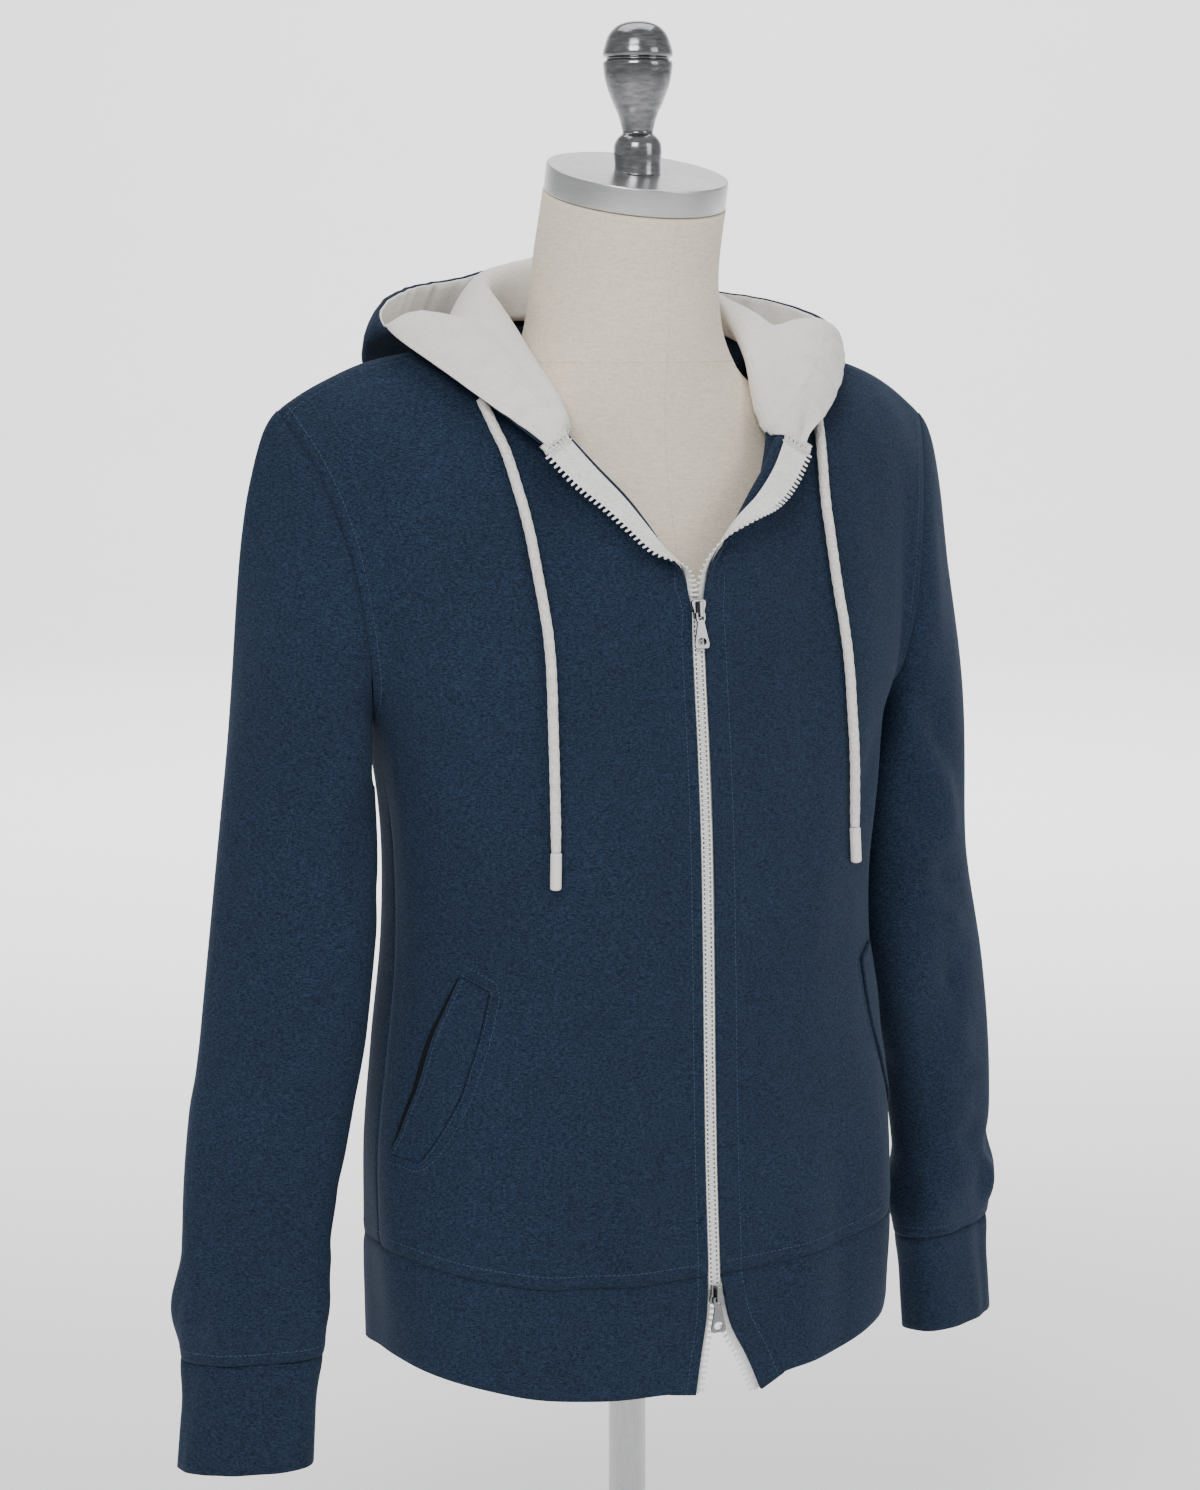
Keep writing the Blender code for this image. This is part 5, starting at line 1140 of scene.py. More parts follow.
def solid(name, verts, faces, smooth=True):
    mesh = bpy.data.meshes.new(name)
    mesh.from_pydata([tuple(v) for v in verts], [], [tuple(int(k) for k in f) for f in faces])
    bm = bmesh.new()
    bm.from_mesh(mesh)
    bmesh.ops.recalc_face_normals(bm, faces=bm.faces)
    if bm.calc_volume(signed=True) < 0:
        bmesh.ops.reverse_faces(bm, faces=bm.faces)
    bm.to_mesh(mesh)
    bm.free()
    if smooth:
        mesh.shade_smooth()
    obj = bpy.data.objects.new(name, mesh)
    SCENE.collection.objects.link(obj)
    return obj


def done(obj, mat, *nodes, slot=None, body=BODY_NAME):
    obj.data.materials.clear()
    obj.data.materials.append(mat)
    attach(obj, body)
    if nodes:
        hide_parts(*nodes)
    return obj


# --------------------------------------------------------------- materials
def new_material(name, colour, roughness, metallic=0.0, sheen=0.0, sheen_tint=None,
                 specular=0.5, coat=0.0):
    m = bpy.data.materials.new(name)
    m.use_nodes = True
    tree = m.node_tree
    shader = tree.nodes["Principled BSDF"]
    shader.inputs["Base Color"].default_value = (*colour, 1)
    shader.inputs["Roughness"].default_value = roughness
    shader.inputs["Metallic"].default_value = metallic
    shader.inputs["Specular IOR Level"].default_value = specular
    shader.inputs["Sheen Weight"].default_value = sheen
    shader.inputs["Sheen Roughness"].default_value = 0.5
    if sheen_tint:
        shader.inputs["Sheen Tint"].default_value = (*sheen_tint, 1)
    shader.inputs["Coat Weight"].default_value = coat
    return m, tree, shader


def noise(tree, scale, detail=3.0, rough=0.6, stretch=(1, 1, 1), turn=(0, 0, 0)):
    coord = tree.nodes.new("ShaderNodeTexCoord")
    mapping = tree.nodes.new("ShaderNodeMapping")
    mapping.inputs["Scale"].default_value = stretch
    mapping.inputs["Rotation"].default_value = turn
    tree.links.new(coord.outputs["Object"], mapping.inputs["Vector"])
    tex = tree.nodes.new("ShaderNodeTexNoise")
    tex.inputs["Scale"].default_value = scale
    tex.inputs["Detail"].default_value = detail
    tex.inputs["Roughness"].default_value = rough
    tree.links.new(mapping.outputs["Vector"], tex.inputs["Vector"])
    return tex.outputs["Fac"]


def wave(tree, pitch, direction="Z", distortion=0.6, stretch=(1, 1, 1), turn=(0, 0, 0)):
    coord = tree.nodes.new("ShaderNodeTexCoord")
    mapping = tree.nodes.new("ShaderNodeMapping")
    mapping.inputs["Scale"].default_value = stretch
    mapping.inputs["Rotation"].default_value = turn
    tree.links.new(coord.outputs["Object"], mapping.inputs["Vector"])
    tex = tree.nodes.new("ShaderNodeTexWave")
    tex.wave_type = "BANDS"
    tex.bands_direction = direction
    tex.inputs["Scale"].default_value = 0.314 / pitch
    tex.inputs["Distortion"].default_value = distortion
    tex.inputs["Detail"].default_value = 1.0
    tree.links.new(mapping.outputs["Vector"], tex.inputs["Vector"])
    return tex.outputs["Fac"]


def ramp(tree, value, low, high):
    node = tree.nodes.new("ShaderNodeMapRange")
    node.inputs["From Min"].default_value = low
    node.inputs["From Max"].default_value = high
    tree.links.new(value, node.inputs["Value"])
    return node.outputs["Result"]


def mix(tree, factor, a, b, kind="MIX"):
    node = tree.nodes.new("ShaderNodeMix")
    node.data_type = "RGBA"
    node.blend_type = kind
    for value, name in ((factor, "Factor"), (a, "A"), (b, "B")):
        socket = next(s for s in node.inputs if s.name == name
                      and (s.type == "RGBA" if name != "Factor" else s.type == "VALUE"))
        if isinstance(value, (int, float)):
            socket.default_value = value
        elif isinstance(value, tuple):
            socket.default_value = (*value, 1)
        else:
            tree.links.new(value, socket)
    return next(s for s in node.outputs if s.type == "RGBA")


def maths(tree, kind, a, b):
    node = tree.nodes.new("ShaderNodeMath")
    node.operation = kind
    for k, value in enumerate((a, b)):
        if isinstance(value, (int, float)):
            node.inputs[k].default_value = value
        else:
            tree.links.new(value, node.inputs[k])
    return node.outputs[0]


def bump(tree, shader, height, distance, strength=0.6):
    node = tree.nodes.new("ShaderNodeBump")
    node.inputs["Strength"].default_value = strength
    node.inputs["Distance"].default_value = distance
    tree.links.new(height, node.inputs["Height"])
    tree.links.new(node.outputs["Normal"], shader.inputs["Normal"])


def knit(name, dark, light, contrast=(0.40, 0.66), depth=0.0005, sheen=0.15, tint=(0.5, 0.6, 0.8),
         rough=0.92):
    """Fine jersey: threads of two shades lying across the cloth."""
    m, tree, shader = new_material(name, dark, rough, sheen=sheen, sheen_tint=tint, specular=0.25)
    thread = noise(tree, 1.0, 3.0, 0.65, (420, 420, 1700))
    speck = noise(tree, 1.0, 2.0, 0.5, (1500, 1500, 480))
    broad = noise(tree, 9.0, 2.0, 0.5)
    both = maths(tree, "ADD", maths(tree, "MULTIPLY", thread, 0.68), maths(tree, "MULTIPLY", speck, 0.32))
    colour = mix(tree, ramp(tree, both, *contrast), dark, light)
    shade = mix(tree, ramp(tree, broad, 0.35, 0.65), (0.93, 0.93, 0.93), (1.05, 1.05, 1.05))
    tree.links.new(mix(tree, 1.0, colour, shade, "MULTIPLY"), shader.inputs["Base Color"])
    grain = noise(tree, 1500, 2.0, 0.6)
    bump(tree, shader, maths(tree, "ADD", both, maths(tree, "MULTIPLY", grain, 0.6)), depth, 0.55)
    return m


def woven(name, dark, light, pitch, depth, rough=0.85, sheen=0.05):
    """Plain weave: threads both ways, each of uneven thickness."""
    m, tree, shader = new_material(name, light, rough, sheen=sheen, specular=0.3)
    up = wave(tree, pitch, "Z", 1.2)
    over = wave(tree, pitch, "X", 1.2)
    deep = wave(tree, pitch, "Y", 1.2)
    slub = noise(tree, 1.0, 2.0, 0.6, (120, 120, 1400))
    fleck = noise(tree, 420.0, 3.0, 0.6)
    cloth = maths(tree, "MULTIPLY", maths(tree, "MAXIMUM", over, deep), up)
    tone = maths(tree, "ADD", maths(tree, "MULTIPLY", slub, 0.5), maths(tree, "MULTIPLY", fleck, 0.5))
    tree.links.new(mix(tree, ramp(tree, tone, 0.34, 0.62), dark, light), shader.inputs["Base Color"])
    bump(tree, shader, maths(tree, "ADD", cloth, tone), depth, 0.5)
    return m


def plastic(name, colour, rough, coat=0.0):
    m, tree, shader = new_material(name, colour, rough, specular=0.5, coat=coat)
    cloud = noise(tree, 90.0, 3.0, 0.6)
    tree.links.new(mix(tree, ramp(tree, cloud, 0.3, 0.7), tuple(c * 0.93 for c in colour), colour),
                   shader.inputs["Base Color"])
    tree.links.new(maths(tree, "ADD", maths(tree, "MULTIPLY", cloud, 0.18), rough - 0.09),
                   shader.inputs["Roughness"])
    bump(tree, shader, noise(tree, 900.0, 2.0, 0.5), 0.00004, 0.4)
    return m


def metal(name, colour, rough, stretch, depth=0.00003, spread=0.16, low=0.82):
    """Brushed or turned metal: fine lines along one way and faint smears. low sets how dark the lines go; set far
    down, as on the knob, the lines also become painted reflection streaks.
    """
    m, tree, shader = new_material(name, colour, rough, metallic=1.0)
    lines = noise(tree, 1.0, 4.0, 0.7, stretch)
    smear = noise(tree, 24.0, 4.0, 0.6)
    tree.links.new(mix(tree, ramp(tree, lines, 0.3, 0.7), tuple(c * low for c in colour), colour),
                   shader.inputs["Base Color"])
    rough_map = maths(tree, "ADD", maths(tree, "MULTIPLY", smear, spread),
                      maths(tree, "MULTIPLY", lines, 0.10))
    tree.links.new(maths(tree, "ADD", rough_map, rough - 0.5 * spread - 0.05),
                   shader.inputs["Roughness"])
    bump(tree, shader, lines, depth, 0.5)
    return m


NAVY_KNIT = knit("navy_knit", (0.0030, 0.0074, 0.0180), (0.0160, 0.0320, 0.0640), (0.42, 0.60), 0.0006, 0.07, (0.4, 0.55, 0.85))
# painted shade: near-black colour of the strips that stand in for the shadow inside the pocket openings
POCKET_SLIT_SHADE_KNIT = knit("pocket_slit_painted_shade_knit", (0.0008, 0.0015, 0.0032), (0.0022, 0.0040, 0.0080), sheen=0.0)
NAVY_THREAD = woven("navy_thread", (0.020, 0.036, 0.070), (0.042, 0.070, 0.120), 0.0006, 0.0001)
LINING_KNIT = knit("lining_knit", (0.60, 0.57, 0.53), (0.80, 0.775, 0.735), (0.25, 0.55), 0.0003,
                   0.08, (1, 1, 1), 0.9)
TAPE_CLOTH = woven("zip_tape_cloth", (0.66, 0.65, 0.63), (0.86, 0.85, 0.83), 0.0007, 0.00015)
WHITE_THREAD = woven("white_thread", (0.62, 0.61, 0.59), (0.84, 0.83, 0.80), 0.0005, 0.0001)
CORD_CLOTH = woven("cord_cloth", (0.60, 0.57, 0.53), (0.86, 0.83, 0.78), 0.0009, 0.0003, 0.9, 0.2)
TEETH = plastic("white_teeth", (0.84, 0.835, 0.82), 0.32)
TIP_SHEATH = plastic("cord_tip_sheath", (0.80, 0.78, 0.74), 0.42)
LINEN_CLOTH = woven("form_linen", (0.66, 0.56, 0.44), (0.82, 0.72, 0.59), 0.0011, 0.0003, 0.9, 0.1)
# slider and pull tabs: grey metal whose base colour is darkened as a painted dark reflection
SLIDER_METAL_PAINTED_DARK = metal("slider_metal_and_painted_dark_reflection", (0.27, 0.27, 0.28), 0.16, (300, 300, 60))
CAP_METAL = metal("cap_brushed", (0.62, 0.62, 0.62), 0.30, (60, 60, 2600), 0.00004)
CAP_TOP = metal("cap_top_brushed", (0.55, 0.55, 0.56), 0.28, (900, 40, 40), 0.00003)
# turned knob: the fine turning lines are real; the dark base colour and the strong light and dark streaks are painted
# reflections
KNOB_METAL = metal("knob_turned_and_painted_reflection", (0.30, 0.30, 0.31), 0.17, (90, 90, 420), 0.00002, 0.10, 0.42)
POLE_METAL = metal("pole_brushed", (0.55, 0.55, 0.56), 0.27, (700, 700, 30))
BASE_METAL = metal("base_brushed", (0.50, 0.50, 0.51), 0.33, (60, 900, 60))


# ------------------------------------------------------------- cloth pieces
def high_low(cloth_rows):
    return cloth_rows


SHEETS = cloth_sheets()
Z_KEYS = row_heights(N_LOW, N_HIGH)
BAND_KEYS = np.linspace(HEM_Z, BAND_Z, 4)
HEAD_KEYS = np.arange(N_HEAD + N_ARM + 1, dtype=float)
SLEEVE_PARTS = [5] * N_HEAD + [13] * N_ARM
BODY_PARTS = [SUB_LOW] * N_LOW + [SUB_HIGH] * N_HIGH
FINE = {}
for name, (outer, inner, side, closed, colour) in SHEETS.items():
    if name.startswith(("front", "back")):
        keys, parts, cols, cloth, still = Z_KEYS, BODY_PARTS, SUB_COL if "front" in name else SUB_BACK, "body", 1.0
    elif name.startswith("hem"):
        keys, parts, cols, cloth, still = BAND_KEYS, [5] * 3, 6, "body", 1.0
    elif name.startswith("sleeve"):
        keys, parts, cols, cloth, still = HEAD_KEYS, SLEEVE_PARTS, SUB_HIGH, "arm", 1.2
    elif name.startswith("cuff"):
        keys, parts, cols, cloth, still = np.arange(4.0), [5] * 3, SUB_HIGH, "arm", 0.7
    elif name.startswith("hood"):
        keys, parts, cols, cloth, still = np.arange(len(outer), dtype=float), [9] * (len(outer) - 1), 10, "hood", 0.8
    elif name.startswith("zip_tape"):
        keys = np.concatenate([BAND_KEYS[:-1], Z_KEYS])
        parts, cols, cloth, still = [5] * 3 + [SUB_LOW] * N_LOW + [SUB_HIGH] * N_HIGH, 5, "tape", 0.0
    else:
        keys, parts, cols, cloth, still = np.arange(len(outer), dtype=float), [8] * (len(outer) - 1), 6, "body", 1.0
    if cloth == "arm":
        cloth = "arm_r" if side < 0 else "arm_l"
    o = finer(outer, keys, parts, cols, closed)
    i = finer(inner, keys, parts, cols, closed)
    if side < 0:
        o, i = mirror(o), mirror(i)
    o, i = lean(o), lean(i)
    FINE[name] = [o, i, cloth, still, closed, colour]

# the sleeve's first ring runs on the armhole of the fine body
n_high = N_HIGH * SUB_HIGH
for tag, end in (("left", -1), ("right", 0)):
    f = FINE["front_" + tag]
    b = FINE["back"]
    s = FINE["sleeve_" + tag]
    for layer in (0, 1):
        front_edge = f[layer][-(n_high + 1):, -1][::-1]
        back_edge = b[layer][-(n_high + 1):, end][1:-1]
        hole = np.vstack([front_edge, back_edge])
        ring = s[layer]
        if len(hole) == ring.shape[1]:
            gap = hole - ring[0]
            fade = np.clip(1 - np.arange(len(ring)) / 12.0, 0, 1)[:, None, None]
            s[layer] = ring + gap[None] * fade * 0.985
def smoother(grid, times):
    """The same sheet with its sharp places eased; the seam at its first row
    stays, and its edges only slide along themselves."""
    g = grid.copy()
    for _ in range(times):
        new = g.copy()
        new[1:-1, 1:-1] = 0.5 * g[1:-1, 1:-1] + 0.125 * (g[:-2, 1:-1] + g[2:, 1:-1] + g[1:-1, :-2] + g[1:-1, 2:])
        new[-1, 1:-1] = 0.5 * g[-1, 1:-1] + 0.25 * (g[-1, :-2] + g[-1, 2:])
        new[1:-1, -1] = 0.5 * g[1:-1, -1] + 0.25 * (g[:-2, -1] + g[2:, -1])
        g = new
    return g


for name, piece in FINE.items():
    if name.startswith("hood"):
        piece[0], piece[1] = smoother(piece[0], 60), smoother(piece[1], 60)
tape_points, tape_faces = [], []
for tag in ("left", "right"):
    g = FINE["zip_tape_" + tag][0]
    base = sum(len(v) for v in tape_points)
    tape_faces += [tuple(base + k for k in q) for q in grid_faces(g.shape[0], g.shape[1], False)]
    tape_points.append(g.reshape(-1, 3))
TAPES = BVHTree.FromPolygons([tuple(v) for v in np.vstack(tape_points)], tape_faces)
for name, piece in FINE.items():
    o, i, cloth, still, closed, colour = piece
    if cloth != "tape":
        off = unit(o - i)
        lift = fold_height(o, cloth, still)[..., None] * off
        o, i = o + lift, i + lift
    # cloth dips a little into its seams
    dip = {"sleeve": ("low", "high"), "cuff": ("low",), "hem": ("high",), "back": ("high", "left", "right", "low"),
           "front": ("low", "high", "right")}
    for key, sides in dip.items():
        if name.startswith(key):
            off = unit(o - i)
            for which in sides:
                for step, depth in ((0, 0.0010), (1, 0.0003)):
                    at = {"low": np.s_[step, :], "high": np.s_[-1 - step, :],
                          "left": np.s_[:, step], "right": np.s_[:, -1 - step]}[which]
                    o[at] -= off[at] * depth
    if name.startswith("sleeve"):
        off = unit(o - i)
        n = len(o)
        t = np.clip((np.arange(n) - (n - 26)) / 25.0, 0, 1)[:, None]
        a = np.linspace(0, 2 * pi, o.shape[1], endpoint=False)[None]
        swell = (0.0042 * np.sin(pi * np.clip(t * 1.08, 0, 1)) ** 1.5
                 * (1 + 0.35 * np.sin(5 * a + 1.0) + 0.25 * np.sin(9 * a + t * 3)))[..., None]
        o, i = o + swell * off, i + swell * off
    if name.startswith("cuff"):
        off = unit(o - i)
        t = np.linspace(0, 1, len(o))[:, None]
        a = np.linspace(0, 2 * pi, o.shape[1], endpoint=False)[None]
        swell = (0.0009 * np.sin(7 * a + 2.0 * t) * (1 - 0.6 * t) + 0.0003 * np.sin(11 * a + 1.0) * t)[..., None]
        o, i = o + swell * off, i + swell * off
    if name.startswith("hood"):
        # gathers run in from the rim; the facing stands a little proud
        off = unit(o - i)
        rim = o[-1]
        d = np.linalg.norm(o - rim[None], axis=2)
        run = np.concatenate([[0.0], np.cumsum(np.linalg.norm(np.diff(rim, axis=0), axis=1))])[None]
        pull = np.sin(run * 2 * pi / 0.021 + 2.2 * np.sin(run * 31)) + 0.6 * np.sin(run * 2 * pi / 0.0125 + 1.7)
        uneven = 0.35 + 0.65 * np.sin(run * 17 + 0.6) ** 2
        size = 0.0011
        h = size * pull * uneven * np.exp(-(d / 0.034) ** 2) * np.clip(d / 0.004, 0.3, 1)
        if "lining" in name:
            h = h - 0.0007 * np.exp(-((d - 0.025) / 0.0022) ** 2)
        o, i = o + h[..., None] * off, i + h[..., None] * off
    piece[0], piece[1] = o, i

# the lining stays inside its hood
for tag in ("left", "right"):
    ho, hi = FINE["hood_" + tag][:2]
    lo, li = FINE["hood_lining_" + tag][:2]
    quads = grid_faces(hi.shape[0], hi.shape[1], False)
    tree = BVHTree.FromPolygons([tuple(v) for v in hi.reshape(-1, 3)], quads)
    inward = unit(hi - ho).reshape(-1, 3)
    points = hi.reshape(-1, 3)
    quads = np.array(quads)
    flat_lo = lo.reshape(-1, 3)
    push = np.zeros_like(flat_lo)
    for k, v in enumerate(flat_lo):
        spot, _, face, _ = tree.find_nearest(tuple(v))
        n = unit(inward[quads[face]].mean(axis=0))
        d = float((v - np.array(spot)) @ n)
        if d < 0.0008:
            push[k] = n * (0.0008 - d)
    if tag == "left":
        # the sharpest fold of the bag, by the wearer's left shoulder
        near = np.linalg.norm(flat_lo - np.array([0.150, 0.080, 0.879]), axis=1)
        push += unit(np.array([-0.6, -0.35, 0.45])) * (0.0075 * np.exp(-(near / 0.017) ** 2))[:, None]
    push = push.reshape(lo.shape)
    FINE["hood_lining_" + tag][0] = lo + push
    FINE["hood_lining_" + tag][1] = li + push


def cut_size(grid, closed):
    """Width and length of the cut, from the longest lines each way, and its
    flat area."""
    g = np.concatenate([grid, grid[:, :1]], axis=1) if closed else grid
    across = np.linalg.norm(np.diff(g, axis=1), axis=2).sum(axis=1).max()
    length = np.linalg.norm(np.diff(g, axis=0), axis=2).sum(axis=0).max()
    d1, d2 = g[1:, 1:] - g[:-1, :-1], g[1:, :-1] - g[:-1, 1:]
    area = 0.5 * np.linalg.norm(np.cross(d1, d2), axis=2).sum()
    return round(float(across), 3), round(float(length), 3), float(area)


SLOTS = {"hood_lining": "lining_cloth", "zip_tape": "zip_tape"}
for name, (o, i, cloth, still, closed, colour) in FINE.items():
    obj = shell(name + "_cloth", o, i, closed)
    mat = NAVY_KNIT if colour == "navy" else (TAPE_CLOTH if "tape" in name else LINING_KNIT)
    slot = next((s for k, s in SLOTS.items() if name.startswith(k)), "outer_cloth")
    done(obj, mat, name, slot=slot)
    w, l, area = cut_size(o, closed)
    area = min(area, 0.999 * w * l)


# ----------------------------------------------------------------- stitches
def line_at(name, which, dist, lo=0.0, hi=1.0, layer=0):
    """Points and outward directions on a fine sheet at a distance from one of
    its edges, between two fractions of that edge."""
    piece = FINE[name]
    g = piece[layer]
    other = piece[1 - layer]
    if which in ("left", "right"):
        g, other = g.transpose(1, 0, 2), other.transpose(1, 0, 2)
    if which in ("high", "right"):
        g, other = g[::-1], other[::-1]
    step = np.linalg.norm(np.diff(g, axis=0), axis=2)
    s = np.vstack([np.zeros(g.shape[1]), np.cumsum(step, axis=0)])
    pts, offs = [], []
    n = g.shape[1]
    for c in range(int(lo * (n - 1)), int(hi * (n - 1)) + 1):
        p = np.array([np.interp(dist, s[:, c], g[:, c, k]) for k in range(3)])
        q = np.array([np.interp(dist, s[:, c], other[:, c, k]) for k in range(3)])
        pts.append(p)
        offs.append(unit(p - q))
    if piece[4] and lo == 0.0 and hi == 1.0:
        pts.append(pts[0])
        offs.append(offs[0])
    return np.array(pts), np.array(offs)


def spindles(centres, runs, offs, length, radius, flat=0.7):
    """Joined stitches: six-sided spindles lying on the cloth."""
    ring = np.linspace(0, 2 * pi, 6, endpoint=False)
    verts, faces = [], []
    for c, t, n in zip(centres, runs, offs):
        b = unit(np.cross(t, n))
        base = len(verts)
        verts.append(c - t * length / 2 - n * radius * 0.6)
        for s, r in ((-0.30, 0.9), (0.30, 0.9)):
            for a in ring:
                verts.append(c + t * s * length + (b * cos(a) + n * sin(a) * flat) * radius * r)
        verts.append(c + t * length / 2 - n * radius * 0.6)
        for k in range(6):
            j = (k + 1) % 6
            faces.append((base, base + 1 + j, base + 1 + k))
            faces.append((base + 1 + k, base + 1 + j, base + 7 + j, base + 7 + k))
            faces.append((base + 13, base + 7 + k, base + 7 + j))
    return verts, faces


def stitch_line(line, spacing=0.0030, length=0.0024, radius=0.00030, raised=0.00005, slant=0.0):
    pts, offs = line
    s = np.concatenate([[0.0], np.cumsum(np.linalg.norm(np.diff(pts, axis=0), axis=1))])
    count = int(s[-1] / spacing)
    if count < 1:
        return [], []
    t = (np.arange(count) + 0.5) * s[-1] / count
    c = np.stack([np.interp(t, s, pts[:, k]) for k in range(3)], axis=1)
    n = unit(np.stack([np.interp(t, s, offs[:, k]) for k in range(3)], axis=1))
    d = 0.0012
    a = np.stack([np.interp(t - d, s, pts[:, k]) for k in range(3)], axis=1)
    b = np.stack([np.interp(t + d, s, pts[:, k]) for k in range(3)], axis=1)
    run = unit(b - a)
    if slant:
        side = unit(np.cross(run, n))
        turn = np.where(np.arange(count) % 2 == 0, slant, slant * 0.7)[:, None]
        run = unit(run * np.cos(turn) + side * np.sin(turn))
    return spindles(c + n * raised, run, n, length, radius)


def joined(name, parts, mat, slot, body=BODY_NAME):
    verts, faces = [], []
    for v, f in parts:
        base = len(verts)
        verts += list(v)
        faces += [tuple(base + k for k in face) for face in f]
    obj = solid(name, verts, faces)
    return done(obj, mat, slot=slot, body=body)


navy = []
n_margin_share = N_MARGIN / (N_MARGIN + N_NECK_F + N_SHOULDER)
shoulder_share = (N_MARGIN + N_NECK_F) / (N_MARGIN + N_NECK_F + N_SHOULDER)
high_share = (SUB_LOW * N_LOW) / (SUB_LOW * N_LOW + SUB_HIGH * N_HIGH)
for tag in ("left", "right"):
    f = "front_" + tag
    placket = 0.0150 if tag == "left" else 0.0070
    navy.append(stitch_line(line_at(f, "low", 0.0085, 0.08, 1.0)))
    navy.append(stitch_line(line_at(f, "right", 0.0070, high_share, 1.0)))
    navy.append(stitch_line(line_at(f, "high", 0.0065, shoulder_share, 1.0)))
    navy.append(stitch_line(line_at(f, "left", placket, 0.0, high_share + 0.18)))
    navy.append(stitch_line(line_at("sleeve_" + tag, "high", 0.0075)))
    navy.append(stitch_line(line_at("hood_" + tag, "high", 0.0220, 0.02, 1.0)))
navy.append(stitch_line(line_at("back", "low", 0.0085)))
navy.append(stitch_line(line_at("back", "left", 0.0070, high_share, 1.0)))
navy.append(stitch_line(line_at("back", "right", 0.0070, high_share, 1.0)))
navy.append(stitch_line(line_at("hem_band", "left", 0.0150)))
navy.append(stitch_line(line_at("hem_band", "right", 0.0070)))

# pocket topstitching: one line on the welt, two on the front beside it
for tag in ("left", "right"):
    o, i = FINE["front_" + tag][:2]
    quads = grid_faces(o.shape[0], o.shape[1], False)
    tree = BVHTree.FromPolygons([tuple(p) for p in o.reshape(-1, 3)], quads)
    welt = FINE["pocket_welt_" + tag][0]
    welt_in = FINE["pocket_welt_" + tag][1]
    for out in (0.0016, 0.0078):
        path, offs = [], []
        top = welt[0, :]
        seam = welt[:, -1]
        low = welt[-1, ::-1]
        mid = welt.reshape(-1, 3).mean(axis=0)
        up = unit(welt[0, 0] - welt[1, 0])
        down = unit(welt[-1, -1] - welt[-2, -1])
        side = unit(welt[:, -1] - welt[:, -2])
        across = unit(welt[0, -1] - welt[0, 0])
        pts = [p + up * out for p in top[::3]]
        pts += [p + s * out for p, s in zip(seam[::4], side[::4])]
        pts += [p + down * out for p in low[::3]]
        pts = smooth_path(np.array(pts), np.linspace(0, 1, 90))
        for p in pts:
            spot, normal, _, _ = tree.find_nearest(tuple(p))
            nn = np.array(normal)
            if np.dot(nn, np.array([spot[0], spot[1] + 0.0, 0])) < 0:
                nn = -nn
            path.append(np.array(spot))
            offs.append(nn)
        navy.append(stitch_line((np.array(path), np.array(offs)), 0.0028, 0.0022, 0.00028))
    navy.append(stitch_line(line_at("pocket_welt_" + tag, "left", 0.0030)))
# painted shade: a thin near-black strip along each welt's slit stands in for the shadow inside the pocket opening
slit_shade_strips = []
for tag in ("left", "right"):
    welt, welt_in = FINE["pocket_welt_" + tag][:2]
    slit = welt[:, 0]
    out_dir = unit(welt[:, 0] - welt[:, 2])
    off = unit(welt[:, 0] - welt_in[:, 0])
    s = np.linspace(0, 1, len(slit))[:, None]
    wide = 0.0042 * np.sin(pi * (0.06 + 0.88 * s)) ** 0.8
    strip = np.stack([slit + out_dir * wide * k - off * 0.0009 for k in (0.0, 0.35, 0.7, 1.0)], axis=1)
    quads = grid_faces(strip.shape[0], 4, False)
    top, low = strip.reshape(-1, 3), (strip - off[:, None] * 0.0006).reshape(-1, 3)
    n = len(top)
    faces = [tuple(q) for q in quads] + [tuple(k + n for k in q[::-1]) for q in quads]
    rows_n = strip.shape[0]
    loop = [0, 1, 2, 3] + [4 * r + 3 for r in range(1, rows_n)] + [4 * (rows_n - 1) + c for c in (2, 1, 0)] \
        + [4 * r for r in range(rows_n - 2, 0, -1)]
    for k, v in enumerate(loop):
        w = loop[(k + 1) % len(loop)]
        faces.append((v, n + v, n + w, w))
    slit_shade_strips.append((np.vstack([top, low]), faces))
pocket_mouths = joined("pocket_mouths", slit_shade_strips, POCKET_SLIT_SHADE_KNIT, "outer_cloth")
navy_stitches = joined("navy_topstitching", navy, NAVY_THREAD, "outer_cloth")

white = []
for tag in ("left", "right"):
    # tape's own two stitch lines on its hidden and turned-out faces
    for dist in (0.0058, 0.0105):
        white.append(stitch_line(line_at("zip_tape_" + tag, "left" , dist, 0.0, 1.0, 1), 0.0026, 0.0020, 0.00026))
    white.append(stitch_line(line_at("hood_lining_" + tag, "high", 0.0060, 0.0, 1.0, 1), 0.0026, 0.0020, 0.00026))
    white.append(stitch_line(line_at("hood_lining_" + tag, "high", 0.0250, 0.0, 1.0, 1), 0.0028, 0.0022, 0.00028))
    white.append(stitch_line(line_at("hood_lining_" + tag, "low", 0.0040, 0.0, 0.5, 1), 0.0014, 0.0042, 0.00030,
                             0.0001, 1.2))
for tag in ("left", "right"):
    for layer in (0, 1):
        for dist, slant, wide in ((0.0012, 1.25, 0.0052), (0.0030, -1.0, 0.0046)):
            white.append(stitch_line(line_at("zip_tape_" + tag, "high", dist, 0.0, 1.0, layer), 0.0013, wide, 0.00042,
                                     0.0004, slant))
        white.append(stitch_line(line_at("hood_lining_" + tag, "low", 0.0016, 0.0, 0.10, layer), 0.0014, 0.0046,
                                 0.00040, 0.0004, 1.1))
